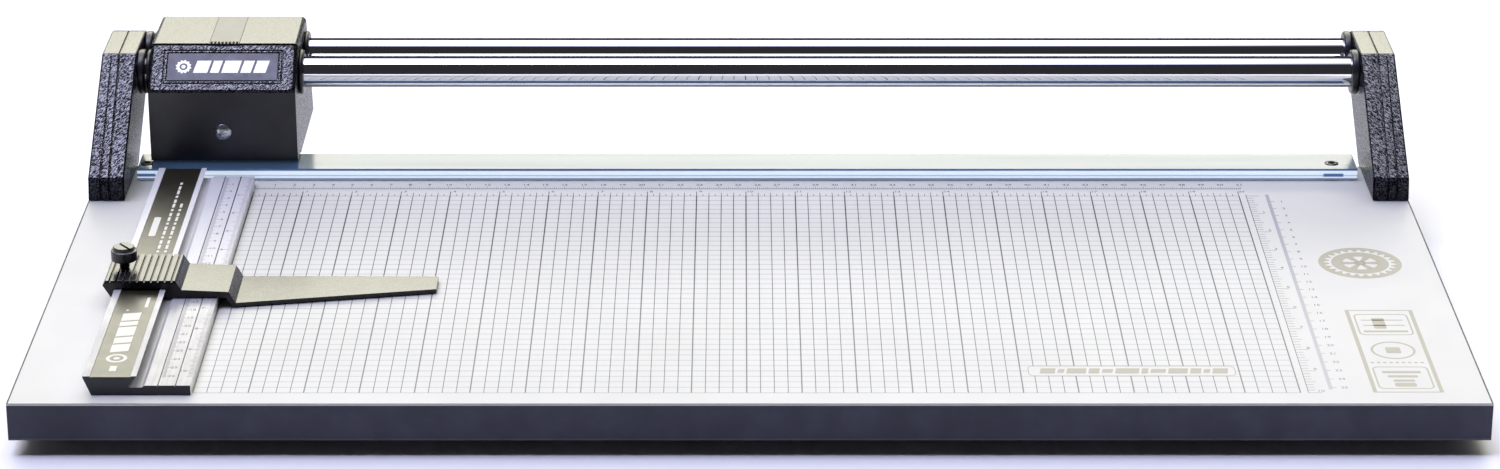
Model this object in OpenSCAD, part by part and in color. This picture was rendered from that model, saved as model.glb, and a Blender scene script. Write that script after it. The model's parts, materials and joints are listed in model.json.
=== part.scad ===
// Rotary paper trimmer: a printed baseboard, two end frames that carry twin chrome rails, a sliding
// head with a self-sharpening cutting wheel, a sprung clear clamp strip and a side guide with a stop.
// +X runs along the rails, +Y from the front edge towards the blade, +Z up. The origin is the middle
// of the bounding box on the surface that the feet stand on. All sizes are in millimetres.

/* [Board] */
// Length of the baseboard along the rails
board_w = 678; // [640:1:760]
// Depth of the baseboard, front edge to blade bar
board_d = 309; // [280:1:340]
// Thickness of the baseboard with its laminates
board_t = 18; // [16:0.5:25]
// Depth of the whole machine, board front to the back of the cutting head
overall_d = 384; // [370:1:410]
// Height of the rubber feet
foot_h = 8; // [5:0.5:12]

/* [End frames] */
// Height of the end frames above the board
frame_h = 60; // [56:1:70]
// Thickness of an end frame at the board
frame_t = 18.6; // [18:0.1:22]
// Thickness of the inner casting of an end frame
casting_t = 7.2; // [7:0.1:9]

/* [Rails] */
// Outer diameter of the chrome rails
rail_d = 16; // [14:0.5:16]
// Distance between the two rails
rail_pitch = 30; // [29:1:32]
// Height of the rail axes above the board
rail_above = 48; // [47:0.5:49]

/* [Cutting head] */
// Length of the head along the rails
head_w = 76.5; // [72:0.5:90]
// Diameter of the cutting wheel
wheel_d = 52; // [50:0.5:52]
// Thickness of the cutting wheel
wheel_t = 1.4; // [1:0.1:2]

/* [Side guide and stop] */
// Length of the side guide
guide_len = 273; // [200:1:275]
// Width of the stop block along the guide
stop_w = 35; // [25:1:45]
// Reach of the stop arm past the guide
stop_reach = 95.5; // [60:0.5:120]

/* [Hidden] */

$fn = 64;
eps = 0.01;

// Board and the planes that everything is placed from
front_y = -overall_d / 2;
rear_y = front_y + board_d;
board_top = foot_h + board_t;
laminate_t = 0.8;
edge_t = 1.2;
core_z = foot_h + laminate_t;
core_t = board_t - 2 * laminate_t;

// Feet
foot_r = 15;
foot_recess_r = 6;
foot_recess_h = 5;
foot_inset = 45;
foot_x = board_w / 2 - foot_inset;
foot_y = [front_y + foot_inset, rear_y - foot_inset];
foot_screw_r = 2;

// Blade bar and bottom blade on the rear edge of the board
bar_t = 3;
blade_t = 2;
blade_h = 9;
blade_w = 636;
blade_y = rear_y + bar_t + blade_t;
bar_screw_x = [-280, -140, 0, 140, 280];
blade_screw_x = [-250, -125, 0, 125, 250];
bar_screw_z = core_z + 4;
blade_screw_z = board_top - 5;

// Rails
rail_r = rail_d / 2;
rail_wall = 1.5;
rail_z = board_top + rail_above;
rail_y = [rear_y + 15, rear_y + 15 + rail_pitch];
rail_socket = 4.4;
rail_half = board_w / 2 - frame_t + rail_socket;
plug_len = 15;
rail_bolt_r = 3;

// End frames: a profile in Y and Z whose sides lean inwards
frame_in_x = board_w / 2 - frame_t;
frame_out_x = board_w / 2;
frame_in_lean = 1.5;
frame_out_lean = 2;
frame_top = board_top + frame_h;
seam_x = frame_in_x + casting_t;
frame_front_y = front_y + 259.5;
frame_nose_z = board_top + 12.5;
frame_top_y = rear_y + 9.5;
frame_round_r = 12;
frame_heel_y = rear_y + 5;
cover_wall = 3;
groove_w = 0.7;
groove_depth = 0.7;
second_groove_x = frame_in_x + 11.6;

// Screws that hold the end frames down and the covers on
frame_screw_y = [frame_front_y + 14, frame_heel_y - 14];
frame_screw_x = seam_x + 0.6;
frame_screw_r = 3;
cover_screw_yz = [[frame_front_y + 12, board_top + 14.5], [rail_y[0] - 12, rail_z - 14]];
cover_screw_r = 2;

// Rubber rings on the rails
ring_r = 11.75;
ring_t = 4;
wiper_t = 2.6;
ring_edge_r = 1.1;
buffer_out_x = frame_in_x - frame_in_lean;

// Cutting head, at rest at the left end of the rails
head_left = -frame_in_x + 8.9;
head_right = head_left + head_w;
head_x = (head_left + head_right) / 2;
head_wall = 3;
head_top = board_top + 65;
head_roof_z = head_top - head_wall;
skirt_y = rear_y - 10;
skirt_t = 2.5;
skirt_z = board_top + 7.5;
side_z = board_top + 6;
lip_y = skirt_y - 1.5;
lip_z = board_top + 47;
lip_h = 1.5;
brow_h = 1.6;
bezel_top_y = rear_y + 10.6;
head_top_rear_y = rear_y + 55.4;
head_back_y = overall_d / 2;
bezel_angle = atan2(head_top - lip_z, bezel_top_y - lip_y);
back_lean = (head_back_y - head_top_rear_y) / (head_top - side_z);
bush_r = 10;
bush_len = 12;
bush_flange_r = 11.5;
bush_flange_t = 1.5;
boss_r = 12.5;
boss_len = 10;
running_gap = 0.05;

// Bezel details, measured along its slope
badge_size = [57, 16.5, 0.8];
badge_gap = 0.6;
frame_line_size = [62, 20.7];
frame_line_w = 0.6;
frame_line_depth = 0.7;
inlay_w = 15.5;
inlay_t = 1;
inlay_lip = 0.6;

// Cutting wheel and its axle, along Y
wheel_r = wheel_d / 2;
wheel_y = blade_y + running_gap;
axle_z = board_top - 2.5 + wheel_r;
axle_r = 4;
axle_head_r = 4.3;
hub_r = 7;
hub_flange_r = 12;
hub_flange_t = 2.5;
bracket_t = 2.5;
bracket_y = skirt_y + skirt_t;
bracket_top = board_top + 43;
washer_t = 1;
hub_front_y = bracket_y + bracket_t + washer_t + running_gap;
hub_rear_y = wheel_y + 5;
spring_y = hub_rear_y + running_gap + washer_t;
spring_len = 6;
disc_count = 4;
disc_r = 7.5;
disc_t = 0.6;
disc_h = 1.45;
nut_t = 4;

// Clamp strip: an inverted channel over the board, sprung up against two screws
strip_gap = 0.8;
strip_top = board_top + 6.5;
strip_x = [-frame_in_x + 2.6, frame_in_x - 3.9];
strip_y = [rear_y - 19.6, rear_y + 3.5];
strip_t = 2;
strip_screw_x = [-frame_in_x + 6.9, frame_in_x - 16.4];
strip_screw_y = rear_y - 11;
strip_screw_r = 1.6;
strip_head_r = 3.25;

// Side guide, with its left edge as its own zero
guide_left = -305.3;
guide_h = 9.5;
guide_w = 49.3;
guide_front_y = front_y + 10;
label_t = 0.5;
guide_screw_u = 14;
guide_screw_y = [guide_front_y + 56, guide_front_y + guide_len / 2, guide_front_y + guide_len - 56];
guide_screw_r = 2;

// Stop, placed on the guide
stop_y = front_y + 115.3;
stop_top = 14.1;
rib_pitch = 3.3;
rib_count = 10;
rib_gap = 0.9;
rib_depth = 1;
arm_z = 0.5;
arm_t = 2.1;
arm_tip_w = 17.3;
thumb_u = 3.1;
thumb_y = stop_y + 17.5;
stud_r = 2;
tip_h = 1.5;

// ---------- shared shapes ----------

// Bar along X with its axis at y, z
module x_rod(r, x0, x1, y, z) translate([x0, y, z]) rotate([0, 90, 0]) cylinder(r = r, h = x1 - x0);

// Bar along Y with its axis at x, z
module y_rod(r, y0, y1, x, z) translate([x, y0, z]) rotate([-90, 0, 0]) cylinder(r = r, h = y1 - y0);

// Box from its lowest to its highest corner
module span(a, b) translate(a) cube(b - a);

// Outline in Y and Z, extruded along X
module yz_extrude(x0, x1) translate([x0, 0, 0]) rotate([90, 0, 90]) linear_extrude(x1 - x0) children();

// Outline in X and Z, extruded along Y
module xz_extrude(y0, y1) translate([0, y1, 0]) rotate([90, 0, 0]) linear_extrude(y1 - y0) children();

// Round-wire coil spring along Z, starting at z = 0
module coil(mean_r, wire_r, turns, len) {
    sides = 8;
    per_turn = 20;
    rings = turns * per_turn;
    function ring_point(i, j) = let (a = 360 * i / per_turn, b = 360 * j / sides, r = mean_r + wire_r * cos(b))
        [r * cos(a), r * sin(a), wire_r + (len - 2 * wire_r) * i / rings + wire_r * sin(b)];
    points = [for (i = [0:rings], j = [0:sides - 1]) ring_point(i, j)];
    walls = [for (i = [0:rings - 1], j = [0:sides - 1])
        [i * sides + j, (i + 1) * sides + j, (i + 1) * sides + (j + 1) % sides, i * sides + (j + 1) % sides]];
    caps = [[for (j = [0:sides - 1]) j], [for (j = [sides - 1:-1:0]) rings * sides + j]];
    polyhedron(points, concat(walls, caps));
}

// Rubber ring of thickness t on a rail, its left face at x0, with rounded outer edges
module rail_ring(x0, y, t) translate([x0, y, rail_z]) rotate([0, 90, 0]) rotate_extrude() {
    translate([rail_r, 0]) square([ring_r - rail_r - ring_edge_r, t]);
    translate([rail_r, ring_edge_r]) square([ring_r - rail_r, t - 2 * ring_edge_r]);
    for (h = [ring_edge_r, t - ring_edge_r])
        translate([ring_r - ring_edge_r, h]) circle(r = ring_edge_r, $fn = 32);
}

// ---------- baseboard ----------

module foot_places() for (x = [-foot_x, foot_x], y = foot_y) translate([x, y, 0]) children();

module frame_screw_places() for (x = [-frame_screw_x, frame_screw_x], y = frame_screw_y)
    translate([x, y, 0]) children();

module guide_screw_places() for (y = guide_screw_y) translate([guide_left + guide_screw_u, y, 0]) children();

module strip_screw_places() for (x = strip_screw_x) translate([x, strip_screw_y, 0]) children();

// Every hole that passes through the board, its laminates and its banding
module board_holes() {
    foot_places() translate([0, 0, foot_h - eps]) cylinder(r = foot_screw_r, h = 12);
    frame_screw_places() {
        translate([0, 0, foot_h - eps]) cylinder(r = 5.5, h = 6);
        translate([0, 0, foot_h]) cylinder(r = frame_screw_r, h = board_t + eps);
    }
    guide_screw_places() {
        translate([0, 0, foot_h - eps]) cylinder(r = 4.2, h = 6);
        translate([0, 0, foot_h]) cylinder(r = guide_screw_r, h = board_t + eps);
    }
    strip_screw_places() translate([0, 0, board_top - 12]) cylinder(r = strip_screw_r, h = 12 + eps);
    for (x = bar_screw_x) y_rod(2, rear_y - 16, rear_y + eps, x, bar_screw_z);
}

module baseboard() color("burlywood") difference() {
    span([-board_w / 2 + edge_t, front_y + edge_t, core_z],
         [board_w / 2 - edge_t, rear_y - edge_t, core_z + core_t]);
    board_holes();
}

module laminate(z) difference() {
    span([-board_w / 2, front_y, z], [board_w / 2, rear_y, z + laminate_t]);
    board_holes();
}

module top_laminate() color("ghostwhite") laminate(board_top - laminate_t);

module bottom_laminate() color("dimgray") laminate(foot_h);

module edge_banding() color([0.06, 0.07, 0.12]) difference() {
    union() {
        for (y = [front_y, rear_y - edge_t])
            span([-board_w / 2, y, core_z], [board_w / 2, y + edge_t, core_z + core_t]);
        for (x = [-board_w / 2, board_w / 2 - edge_t])
            span([x, front_y + edge_t, core_z], [x + edge_t, rear_y - edge_t, core_z + core_t]);
    }
    board_holes();
}

module rubber_feet() color("black") foot_places() difference() {
    union() {
        cylinder(r1 = foot_r - 1, r2 = foot_r, h = 1.5);
        translate([0, 0, 1.5]) cylinder(r = foot_r, h = foot_h - 1.5);
    }
    translate([0, 0, -eps]) cylinder(r = foot_recess_r, h = foot_recess_h + eps);
    cylinder(r = foot_screw_r, h = foot_h + eps);
}

module foot_screws() color("silver") foot_places() {
    translate([0, 0, foot_recess_h - 2]) difference() {
        cylinder(r = 4, h = 2);
        translate([0, 0, -eps]) {
            translate([-2, -0.4, 0]) cube([4, 0.8, 1]);
            translate([-0.4, -2, 0]) cube([0.8, 4, 1]);
        }
    }
    translate([0, 0, foot_recess_h]) cylinder(r = foot_screw_r, h = 14);
}

// ---------- blade ----------

module blade_bar() color("gray") difference() {
    span([-board_w / 2, rear_y, core_z], [board_w / 2, rear_y + bar_t, board_top]);
    for (x = bar_screw_x) y_rod(2, rear_y - eps, rear_y + bar_t + eps, x, bar_screw_z);
    for (x = blade_screw_x) y_rod(1.5, rear_y - eps, rear_y + bar_t + eps, x, blade_screw_z);
}

module bottom_blade() color("lightgray") difference() {
    span([-blade_w / 2, rear_y + bar_t, board_top - blade_h], [blade_w / 2, blade_y, board_top]);
    for (x = blade_screw_x) translate([x, blade_y, blade_screw_z]) rotate([90, 0, 0]) {
        cylinder(r = 1.5, h = blade_t + eps);
        translate([0, 0, -eps]) cylinder(r1 = 3 + eps, r2 = 1.5, h = 1.5 + eps);
    }
}

module bar_screws() color("silver") for (x = bar_screw_x) {
    y_rod(2, rear_y - 15, rear_y + bar_t, x, bar_screw_z);
    difference() {
        y_rod(3.6, rear_y + bar_t, rear_y + bar_t + 1.6, x, bar_screw_z);
        span([x - 2, rear_y + bar_t + 1, bar_screw_z - 0.4], [x + 2, rear_y + bar_t + 2, bar_screw_z + 0.4]);
    }
}

module blade_screws() color("silver") for (x = blade_screw_x) difference() {
    translate([x, blade_y, blade_screw_z]) rotate([90, 0, 0]) {
        cylinder(r = 1.5, h = blade_t + bar_t);
        cylinder(r1 = 3, r2 = 1.5, h = 1.5);
    }
    span([x - 2, blade_y - 0.6, blade_screw_z - 0.3], [x + 2, blade_y + eps, blade_screw_z + 0.3]);
}

// ---------- end frames ----------

// Side outline of an end frame in Y and Z, moved inwards by inset
module frame_profile(inset = 0) {
    slope = atan2(frame_top - frame_nose_z, frame_top_y - frame_front_y);
    round_y = rail_y[1];
    round_z = frame_top - frame_round_r;
    reach = norm([round_y - frame_heel_y, round_z - board_top]);
    heel = atan2(round_z - board_top, round_y - frame_heel_y) - asin(frame_round_r / reach);
    r = frame_round_r - inset;
    polygon([
        [frame_front_y + inset, board_top],
        [frame_heel_y - inset / sin(heel), board_top],
        [round_y + r * sin(heel), round_z - r * cos(heel)],
        [round_y, round_z],
        [round_y, frame_top - inset],
        [frame_top_y + inset * (1 - cos(slope)) / sin(slope), frame_top - inset],
        [frame_front_y + inset, frame_nose_z - inset * (1 - sin(slope)) / cos(slope)]
    ]);
    translate([round_y, round_z]) circle(r = r);
}

// The whole right end frame, with its leaning sides
module frame_body() intersection() {
    yz_extrude(frame_in_x - 3, frame_out_x + 1) frame_profile();
    xz_extrude(front_y, head_back_y) polygon([
        [frame_in_x, board_top], [frame_out_x, board_top],
        [frame_out_x - frame_out_lean, frame_top], [frame_in_x - frame_in_lean, frame_top]]);
}

// Foot block of the casting, hidden inside the cover, that the hold-down screws go into
module frame_foot() span([seam_x - 1, frame_front_y + 5, board_top],
    [seam_x + 5.6, frame_heel_y - 6, board_top + 9]);

module end_frame() difference() {
    union() {
        intersection() {
            frame_body();
            span([0, front_y, 0], [seam_x, head_back_y, frame_top + 1]);
        }
        frame_foot();
    }
    for (y = rail_y) {
        x_rod(rail_r, frame_in_x - 3, rail_half, y, rail_z);
        x_rod(rail_bolt_r, frame_in_x, seam_x + 1, y, rail_z);
    }
    for (y = frame_screw_y) translate([frame_screw_x, y, board_top - eps]) cylinder(r = frame_screw_r, h = 7);
    for (p = cover_screw_yz) x_rod(cover_screw_r, seam_x - 5, seam_x + 1, p[0], p[1]);
}

module end_cover() difference() {
    union() {
        difference() {
            frame_body();
            span([0, front_y, 0], [seam_x, head_back_y, frame_top + 1]);
            yz_extrude(seam_x - 1, seam_x + 6.2) frame_profile(cover_wall);
            span([seam_x - 1, frame_front_y + 4.5, board_top - 1],
                 [seam_x + 6.2, frame_heel_y - 5.5, board_top + 9.5]);
        }
        for (p = cover_screw_yz) x_rod(4, seam_x, seam_x + 7, p[0], p[1]);
    }
    for (p = cover_screw_yz) {
        x_rod(cover_screw_r, seam_x - 1, frame_out_x + 1, p[0], p[1]);
        translate([frame_out_x - 3.5, p[0], p[1]]) rotate([0, 90, 0])
            cylinder(r = 4.2, h = 5);
    }
    difference() {
        span([seam_x - eps, front_y, board_top - 1], [seam_x + groove_w, head_back_y, frame_top + 1]);
        yz_extrude(seam_x - 1, seam_x + groove_w + 1) frame_profile(groove_depth);
    }
    difference() {
        span([second_groove_x, front_y, board_top - 1],
             [second_groove_x + groove_w, frame_top_y - 1, frame_top - 1]);
        yz_extrude(second_groove_x - 1, second_groove_x + groove_w + 1) frame_profile(groove_depth);
    }
}

module left_end_frame() color([0.12, 0.12, 0.15]) mirror([1, 0, 0]) end_frame();

module right_end_frame() color([0.12, 0.12, 0.15]) end_frame();

module left_end_cover() color([0.16, 0.16, 0.2]) mirror([1, 0, 0]) end_cover();

module right_end_cover() color([0.16, 0.16, 0.2]) end_cover();

// Socket screws from under the board into the castings
module end_frame_screws() color("silver") frame_screw_places() {
    translate([0, 0, foot_h + 1]) difference() {
        cylinder(r = 5, h = 5);
        translate([0, 0, -eps]) cylinder(r = 2.9, h = 3, $fn = 6);
    }
    translate([0, 0, foot_h + 6]) cylinder(r = frame_screw_r, h = board_t + 0.9);
}

module end_cover_screws() color("black") for (side = [0, 1]) mirror([side, 0, 0])
    for (p = cover_screw_yz) difference() {
        union() {
            x_rod(cover_screw_r, seam_x - 4.5, frame_out_x - 3.5, p[0], p[1]);
            x_rod(3.8, frame_out_x - 3.5, frame_out_x - 1.7, p[0], p[1]);
        }
        translate([frame_out_x - 2.9, p[0], p[1]]) rotate([0, 90, 0]) cylinder(r = 1.6, h = 2, $fn = 6);
    }

// ---------- rails ----------

module rail(y) color("white") difference() {
    x_rod(rail_r, -rail_half, rail_half, y, rail_z);
    x_rod(rail_r - rail_wall, -rail_half - 1, rail_half + 1, y, rail_z);
}

module front_rail() rail(rail_y[0]);

module rear_rail() rail(rail_y[1]);

// Threaded plugs in the rail ends
module rail_end_plugs() color("gray") for (side = [0, 1], y = rail_y) mirror([side, 0, 0]) difference() {
    x_rod(rail_r - rail_wall, rail_half - plug_len, rail_half, y, rail_z);
    x_rod(rail_bolt_r, rail_half - plug_len - 1, rail_half + 1, y, rail_z);
}

module rail_bolts() color("silver") for (side = [0, 1], y = rail_y) mirror([side, 0, 0]) difference() {
    union() {
        x_rod(rail_bolt_r, rail_half - plug_len + 2, seam_x, y, rail_z);
        x_rod(5, seam_x, seam_x + 4, y, rail_z);
    }
    translate([seam_x + 1.5, y, rail_z]) rotate([0, 90, 0]) cylinder(r = 2.9, h = 3, $fn = 6);
}

module front_left_buffer() color("black") rail_ring(-buffer_out_x, rail_y[0], ring_t);

module front_right_buffer() color("black") rail_ring(buffer_out_x - ring_t, rail_y[0], ring_t);

module rear_left_buffer() color("black") rail_ring(-buffer_out_x, rail_y[1], ring_t);

module rear_right_buffer() color("black") rail_ring(buffer_out_x - ring_t, rail_y[1], ring_t);

// ---------- side guide ----------

// Cross-section of the guide: a raised channel for the label and a low bevelled scale
module guide_profile() difference() {
    polygon([
        [3.7, 0], [guide_w, 0], [guide_w, 4.9], [28.4, 4.9], [27.1, 4], [21, 4],
        [24.8, 9.3], [24.8, guide_h], [22.1, guide_h], [22.1, 8.6], [3.5, 8.6], [3.5, guide_h],
        [0, guide_h], [0, 9]
    ]);
    for (u = [34.1, 42.2]) translate([u, 4.5]) square([0.5, 1]);
}

module side_guide() color("silver") difference() {
    xz_extrude(guide_front_y, guide_front_y + guide_len) translate([guide_left, board_top]) guide_profile();
    guide_screw_places() translate([0, 0, board_top - eps]) cylinder(r = guide_screw_r, h = 6);
}

module guide_label() color("black")
    span([guide_left + 3.5, guide_front_y, board_top + 8.6],
         [guide_left + 22.1, guide_front_y + guide_len, board_top + 8.6 + label_t]);

module guide_screws() color("silver") guide_screw_places() {
    translate([0, 0, foot_h + 2]) difference() {
        cylinder(r = 3.8, h = 4);
        translate([0, 0, -eps]) cylinder(r = 2, h = 2, $fn = 6);
    }
    translate([0, 0, foot_h + 6]) cylinder(r = guide_screw_r, h = board_t - 0.5);
}

// ---------- clamp strip ----------

module clamp_strip() color([0.6, 0.85, 0.95, 0.5]) difference() {
    span([strip_x[0], strip_y[0], board_top + strip_gap], [strip_x[1], strip_y[1], strip_top]);
    span([strip_x[0] - 1, strip_y[0] + strip_t, 0],
         [strip_x[1] + 1, strip_y[1] - strip_t, strip_top - strip_t]);
    strip_screw_places() {
        cylinder(r = strip_screw_r + 0.4, h = strip_top + 1);
        translate([0, 0, strip_top - 1]) cylinder(r = strip_head_r + 0.25, h = 2);
    }
}

module strip_screws() color("silver") strip_screw_places() difference() {
    union() {
        translate([0, 0, board_top - 11]) cylinder(r = strip_screw_r, h = strip_top - 1 - board_top + 11);
        translate([0, 0, strip_top - 1]) cylinder(r = strip_head_r, h = 1);
        translate([0, 0, strip_top]) cylinder(r1 = strip_head_r, r2 = strip_head_r - 1.2, h = 0.4);
    }
    for (a = [0, 90]) rotate([0, 0, a]) span([-1.6, -0.35, strip_top - 0.5], [1.6, 0.35, strip_top + 1]);
}

module strip_springs() color("silver") strip_screw_places() translate([0, 0, board_top])
    coil(2.6, 0.35, 4, strip_top - strip_t - board_top);

// ---------- cutting head ----------

// Places its children on the middle of the sloping bezel, with Z along the outward normal
module on_bezel() translate([head_x, (lip_y + bezel_top_y) / 2, (lip_z + head_top) / 2])
    rotate([bezel_angle, 0, 0]) children();

// Places its children on the back face at height z, with Z along the outward normal
module on_back(x, z) translate([x, head_back_y - (z - side_z) * back_lean, z])
    rotate([-90 + atan(back_lean), 0, 0]) children();

module guard_screw_places() for (x = [head_left + 7.5, head_right - 7.5], z = [side_z + 9, head_top - 38])
    on_back(x, z) children();

// Centre places of the screws between the skirt's side flanges and the housing
module skirt_screw_places() for (side = [-1, 1], z = [skirt_z + 8, skirt_z + 22])
    translate([head_x + side * (head_w / 2 - head_wall), bracket_y + 4.5, z]) rotate([0, side * 90, 0]) children();

module head_housing() color([0.14, 0.14, 0.17]) difference() {
    union() {
        difference() {
            yz_extrude(head_left, head_right) polygon([
                [bracket_y, skirt_z], [blade_y + 1.5, skirt_z], [blade_y + 1.5, side_z],
                [head_back_y, side_z], [head_top_rear_y, head_top],
                [bezel_top_y + 0.2, head_top], [bezel_top_y + 0.2, head_top - brow_h],
                [bezel_top_y - 1.2 * cos(bezel_angle), head_top - 1.2 * sin(bezel_angle)],
                [lip_y, lip_z], [lip_y, lip_z - lip_h], [bracket_y, lip_z - lip_h]]);
            yz_extrude(head_left + head_wall, head_right - head_wall) polygon([
                [bracket_y - 1, side_z - 1], [head_back_y + 2, side_z - 1],
                [head_top_rear_y + 2, head_roof_z],
                [bezel_top_y + 0.4 * head_wall, head_roof_z],
                [bracket_y, lip_z - 0.2 * head_wall], [bracket_y - 1, lip_z - 1]]);
        }
        for (y = rail_y) {
            x_rod(boss_r, head_left, head_left + boss_len, y, rail_z);
            x_rod(boss_r, head_right - boss_len, head_right, y, rail_z);
        }
        yz_extrude(head_x - 30, head_x + 30) polygon([
            [bracket_y, bracket_top], [bracket_y + 10.5, bracket_top],
            [bracket_y + 10.5, bracket_top + 12.6], [bracket_y, lip_z + 0.2]]);
        intersection() {
            yz_extrude(head_left, head_right) polygon([
                [bracket_y, side_z], [head_back_y, side_z], [head_top_rear_y, head_top], [bezel_top_y, head_top]]);
            guard_screw_places() translate([-5, -4, -10.5]) cube([10, 8, 8]);
        }
    }
    for (y = rail_y) x_rod(bush_r, head_left - 1, head_right + 1, y, rail_z);
    on_bezel() {
        translate([-badge_size[0] / 2 - badge_gap, -badge_size[1] / 2 - badge_gap, -badge_size[2]])
            cube([badge_size[0] + 2 * badge_gap, badge_size[1] + 2 * badge_gap, 2]);
        translate([0, 0, -frame_line_depth]) linear_extrude(2) difference() {
            square(frame_line_size, center = true);
            square(frame_line_size - 2 * [frame_line_w, frame_line_w], center = true);
        }
    }
    span([head_x - inlay_w / 2, bezel_top_y - 5, head_top - inlay_t],
         [head_x + inlay_w / 2, head_top_rear_y + 5, head_top + 1]);
    for (side = [-1, 1]) translate([head_x + side * 20, bracket_y + 6.5, bracket_top - eps])
        cylinder(r = 2, h = 8);
    skirt_screw_places() cylinder(r = 1.5, h = 2);
    guard_screw_places() translate([0, 0, -10]) cylinder(r = 1.5, h = 9);
}

module badge_plate() color("slategray") on_bezel()
    translate([-badge_size[0] / 2, -badge_size[1] / 2, -badge_size[2]]) cube(badge_size);

// Wear plate along the middle of the roof, with a ribbed lip at its front end
module top_inlay() color("gray") {
    span([head_x - inlay_w / 2, bezel_top_y - 0.6, head_top - inlay_t],
         [head_x + inlay_w / 2, head_top_rear_y - 0.4, head_top + 0.1]);
    for (i = [0:7]) translate([head_x - inlay_w / 2 + 0.55 + 1.9 * i, bezel_top_y, head_top])
        cube([1.1, 1.8, inlay_lip]);
}

module front_skirt() color([0.1, 0.1, 0.12]) difference() {
    union() {
        span([head_left, skirt_y, skirt_z], [head_right, bracket_y, lip_z - lip_h]);
        for (side = [-1, 1]) translate([head_x + side * (head_w / 2 - head_wall - 0.75), 0, 0])
            span([-0.75, bracket_y - eps, skirt_z + 3], [0.75, bracket_y + 9, skirt_z + 27]);
    }
    y_rod(axle_r, skirt_y - 1, bracket_y + 1, head_x, axle_z);
    skirt_screw_places() translate([0, 0, -3]) cylinder(r = 1.5, h = 4);
}

module skirt_screws() color("silver") skirt_screw_places() {
    translate([0, 0, -1.5]) cylinder(r = 1.5, h = 3.5);
    translate([0, 0, -3]) cylinder(r = 2.7, h = 1.5);
}

module rear_guard() color([0.1, 0.1, 0.12]) difference() {
    yz_extrude(head_left + head_wall, head_right - head_wall) polygon([
        [head_back_y, side_z], [head_back_y - (head_roof_z - side_z) * back_lean, head_roof_z],
        [head_back_y - (head_roof_z - side_z) * back_lean - 2.6, head_roof_z],
        [head_back_y - 2.6, side_z]]);
    guard_screw_places() translate([0, 0, -4]) cylinder(r = 1.6, h = 5);
}

module guard_screws() color("silver") guard_screw_places() {
    translate([0, 0, -9]) cylinder(r = 1.5, h = 9);
    difference() {
        translate([0, 0, eps]) cylinder(r1 = 2.8, r2 = 2, h = 1.3);
        translate([-2, -0.3, 0.7]) cube([4, 0.6, 1]);
    }
}

// Flanged bush: side is -1 for the left wall of the head and 1 for the right
module bush(side, y) color("goldenrod") difference() {
    face = side < 0 ? head_left : head_right;
    union() {
        x_rod(bush_r, side < 0 ? face : face - boss_len, side < 0 ? face + boss_len : face, y, rail_z);
        x_rod(bush_flange_r, side < 0 ? face + boss_len : face - boss_len - bush_flange_t,
              side < 0 ? face + boss_len + bush_flange_t : face - boss_len, y, rail_z);
    }
    x_rod(rail_r + running_gap, face - bush_len - 2, face + bush_len + 2, y, rail_z);
}

module front_left_bush() bush(-1, rail_y[0]);

module front_right_bush() bush(1, rail_y[0]);

module rear_left_bush() bush(-1, rail_y[1]);

module rear_right_bush() bush(1, rail_y[1]);

// Rubber wiper ring outside a bush, with a running fit on the rail
module wiper(x0, y) color("black") difference() {
    rail_ring(x0, y, wiper_t);
    x_rod(rail_r + running_gap, x0 - 1, x0 + wiper_t + 1, y, rail_z);
}

module front_left_wiper() wiper(head_left - wiper_t, rail_y[0]);

module front_right_wiper() wiper(head_right, rail_y[0]);

module rear_left_wiper() wiper(head_left - wiper_t, rail_y[1]);

module rear_right_wiper() wiper(head_right, rail_y[1]);

// ---------- wheel carrier ----------

module wheel_bracket() color("gray") difference() {
    union() {
        span([head_x - 25, bracket_y, axle_z - 13], [head_x + 25, bracket_y + bracket_t, bracket_top]);
        span([head_x - 25, bracket_y, bracket_top - bracket_t], [head_x + 25, bracket_y + 10.5, bracket_top]);
    }
    y_rod(axle_r, bracket_y - 1, bracket_y + 10, head_x, axle_z);
    for (side = [-1, 1]) translate([head_x + side * 20, bracket_y + 6.5, bracket_top - 5])
        cylinder(r = 2, h = 8);
}

module bracket_screws() color("silver") for (side = [-1, 1])
    translate([head_x + side * 20, bracket_y + 6.5, bracket_top - bracket_t]) {
        cylinder(r = 2, h = bracket_t + 7);
        translate([0, 0, -2.2]) difference() {
            cylinder(r = 3.6, h = 2.2);
            translate([-3, -0.4, -eps]) cube([6, 0.8, 1]);
        }
    }

// Shoulder bolt with a domed, slotted head in front of the skirt
module wheel_axle() color("silver") difference() {
    union() {
        y_rod(axle_r, skirt_y, spring_y + spring_len + nut_t + 1.5, head_x, axle_z);
        translate([head_x, skirt_y, axle_z]) rotate([90, 0, 0]) intersection() {
            cylinder(r = axle_head_r, h = 3);
            translate([0, 0, -5]) sphere(r = 7);
        }
    }
    translate([head_x, skirt_y - 2.4, axle_z]) rotate([0, 35, 0]) cube([10, 1.6, 0.9], center = true);
}

module thrust_washers() color("silver") for (y = [bracket_y + bracket_t, hub_rear_y + running_gap]) difference() {
    y_rod(hub_r, y, y + washer_t, head_x, axle_z);
    y_rod(axle_r, y - 1, y + washer_t + 1, head_x, axle_z);
}

// Stack of disc springs, facing each other in turn
module wheel_spring() color("silver") translate([head_x, spring_y, axle_z]) rotate([-90, 0, 0])
    for (i = [0:disc_count - 1]) translate([0, 0, (i + 0.5) * spring_len / disc_count]) mirror([0, 0, i % 2])
        translate([0, 0, -disc_h / 2]) rotate_extrude() polygon([
            [axle_r + 0.2, 0], [disc_r, disc_h - disc_t], [disc_r, disc_h], [axle_r + 0.2, disc_t]]);

module axle_nut() color("silver") translate([head_x, spring_y + spring_len, axle_z]) rotate([-90, 0, 0])
    difference() {
        cylinder(r = 7.5, h = nut_t, $fn = 6);
        translate([0, 0, -1]) cylinder(r = axle_r, h = nut_t + 2);
    }

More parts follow.
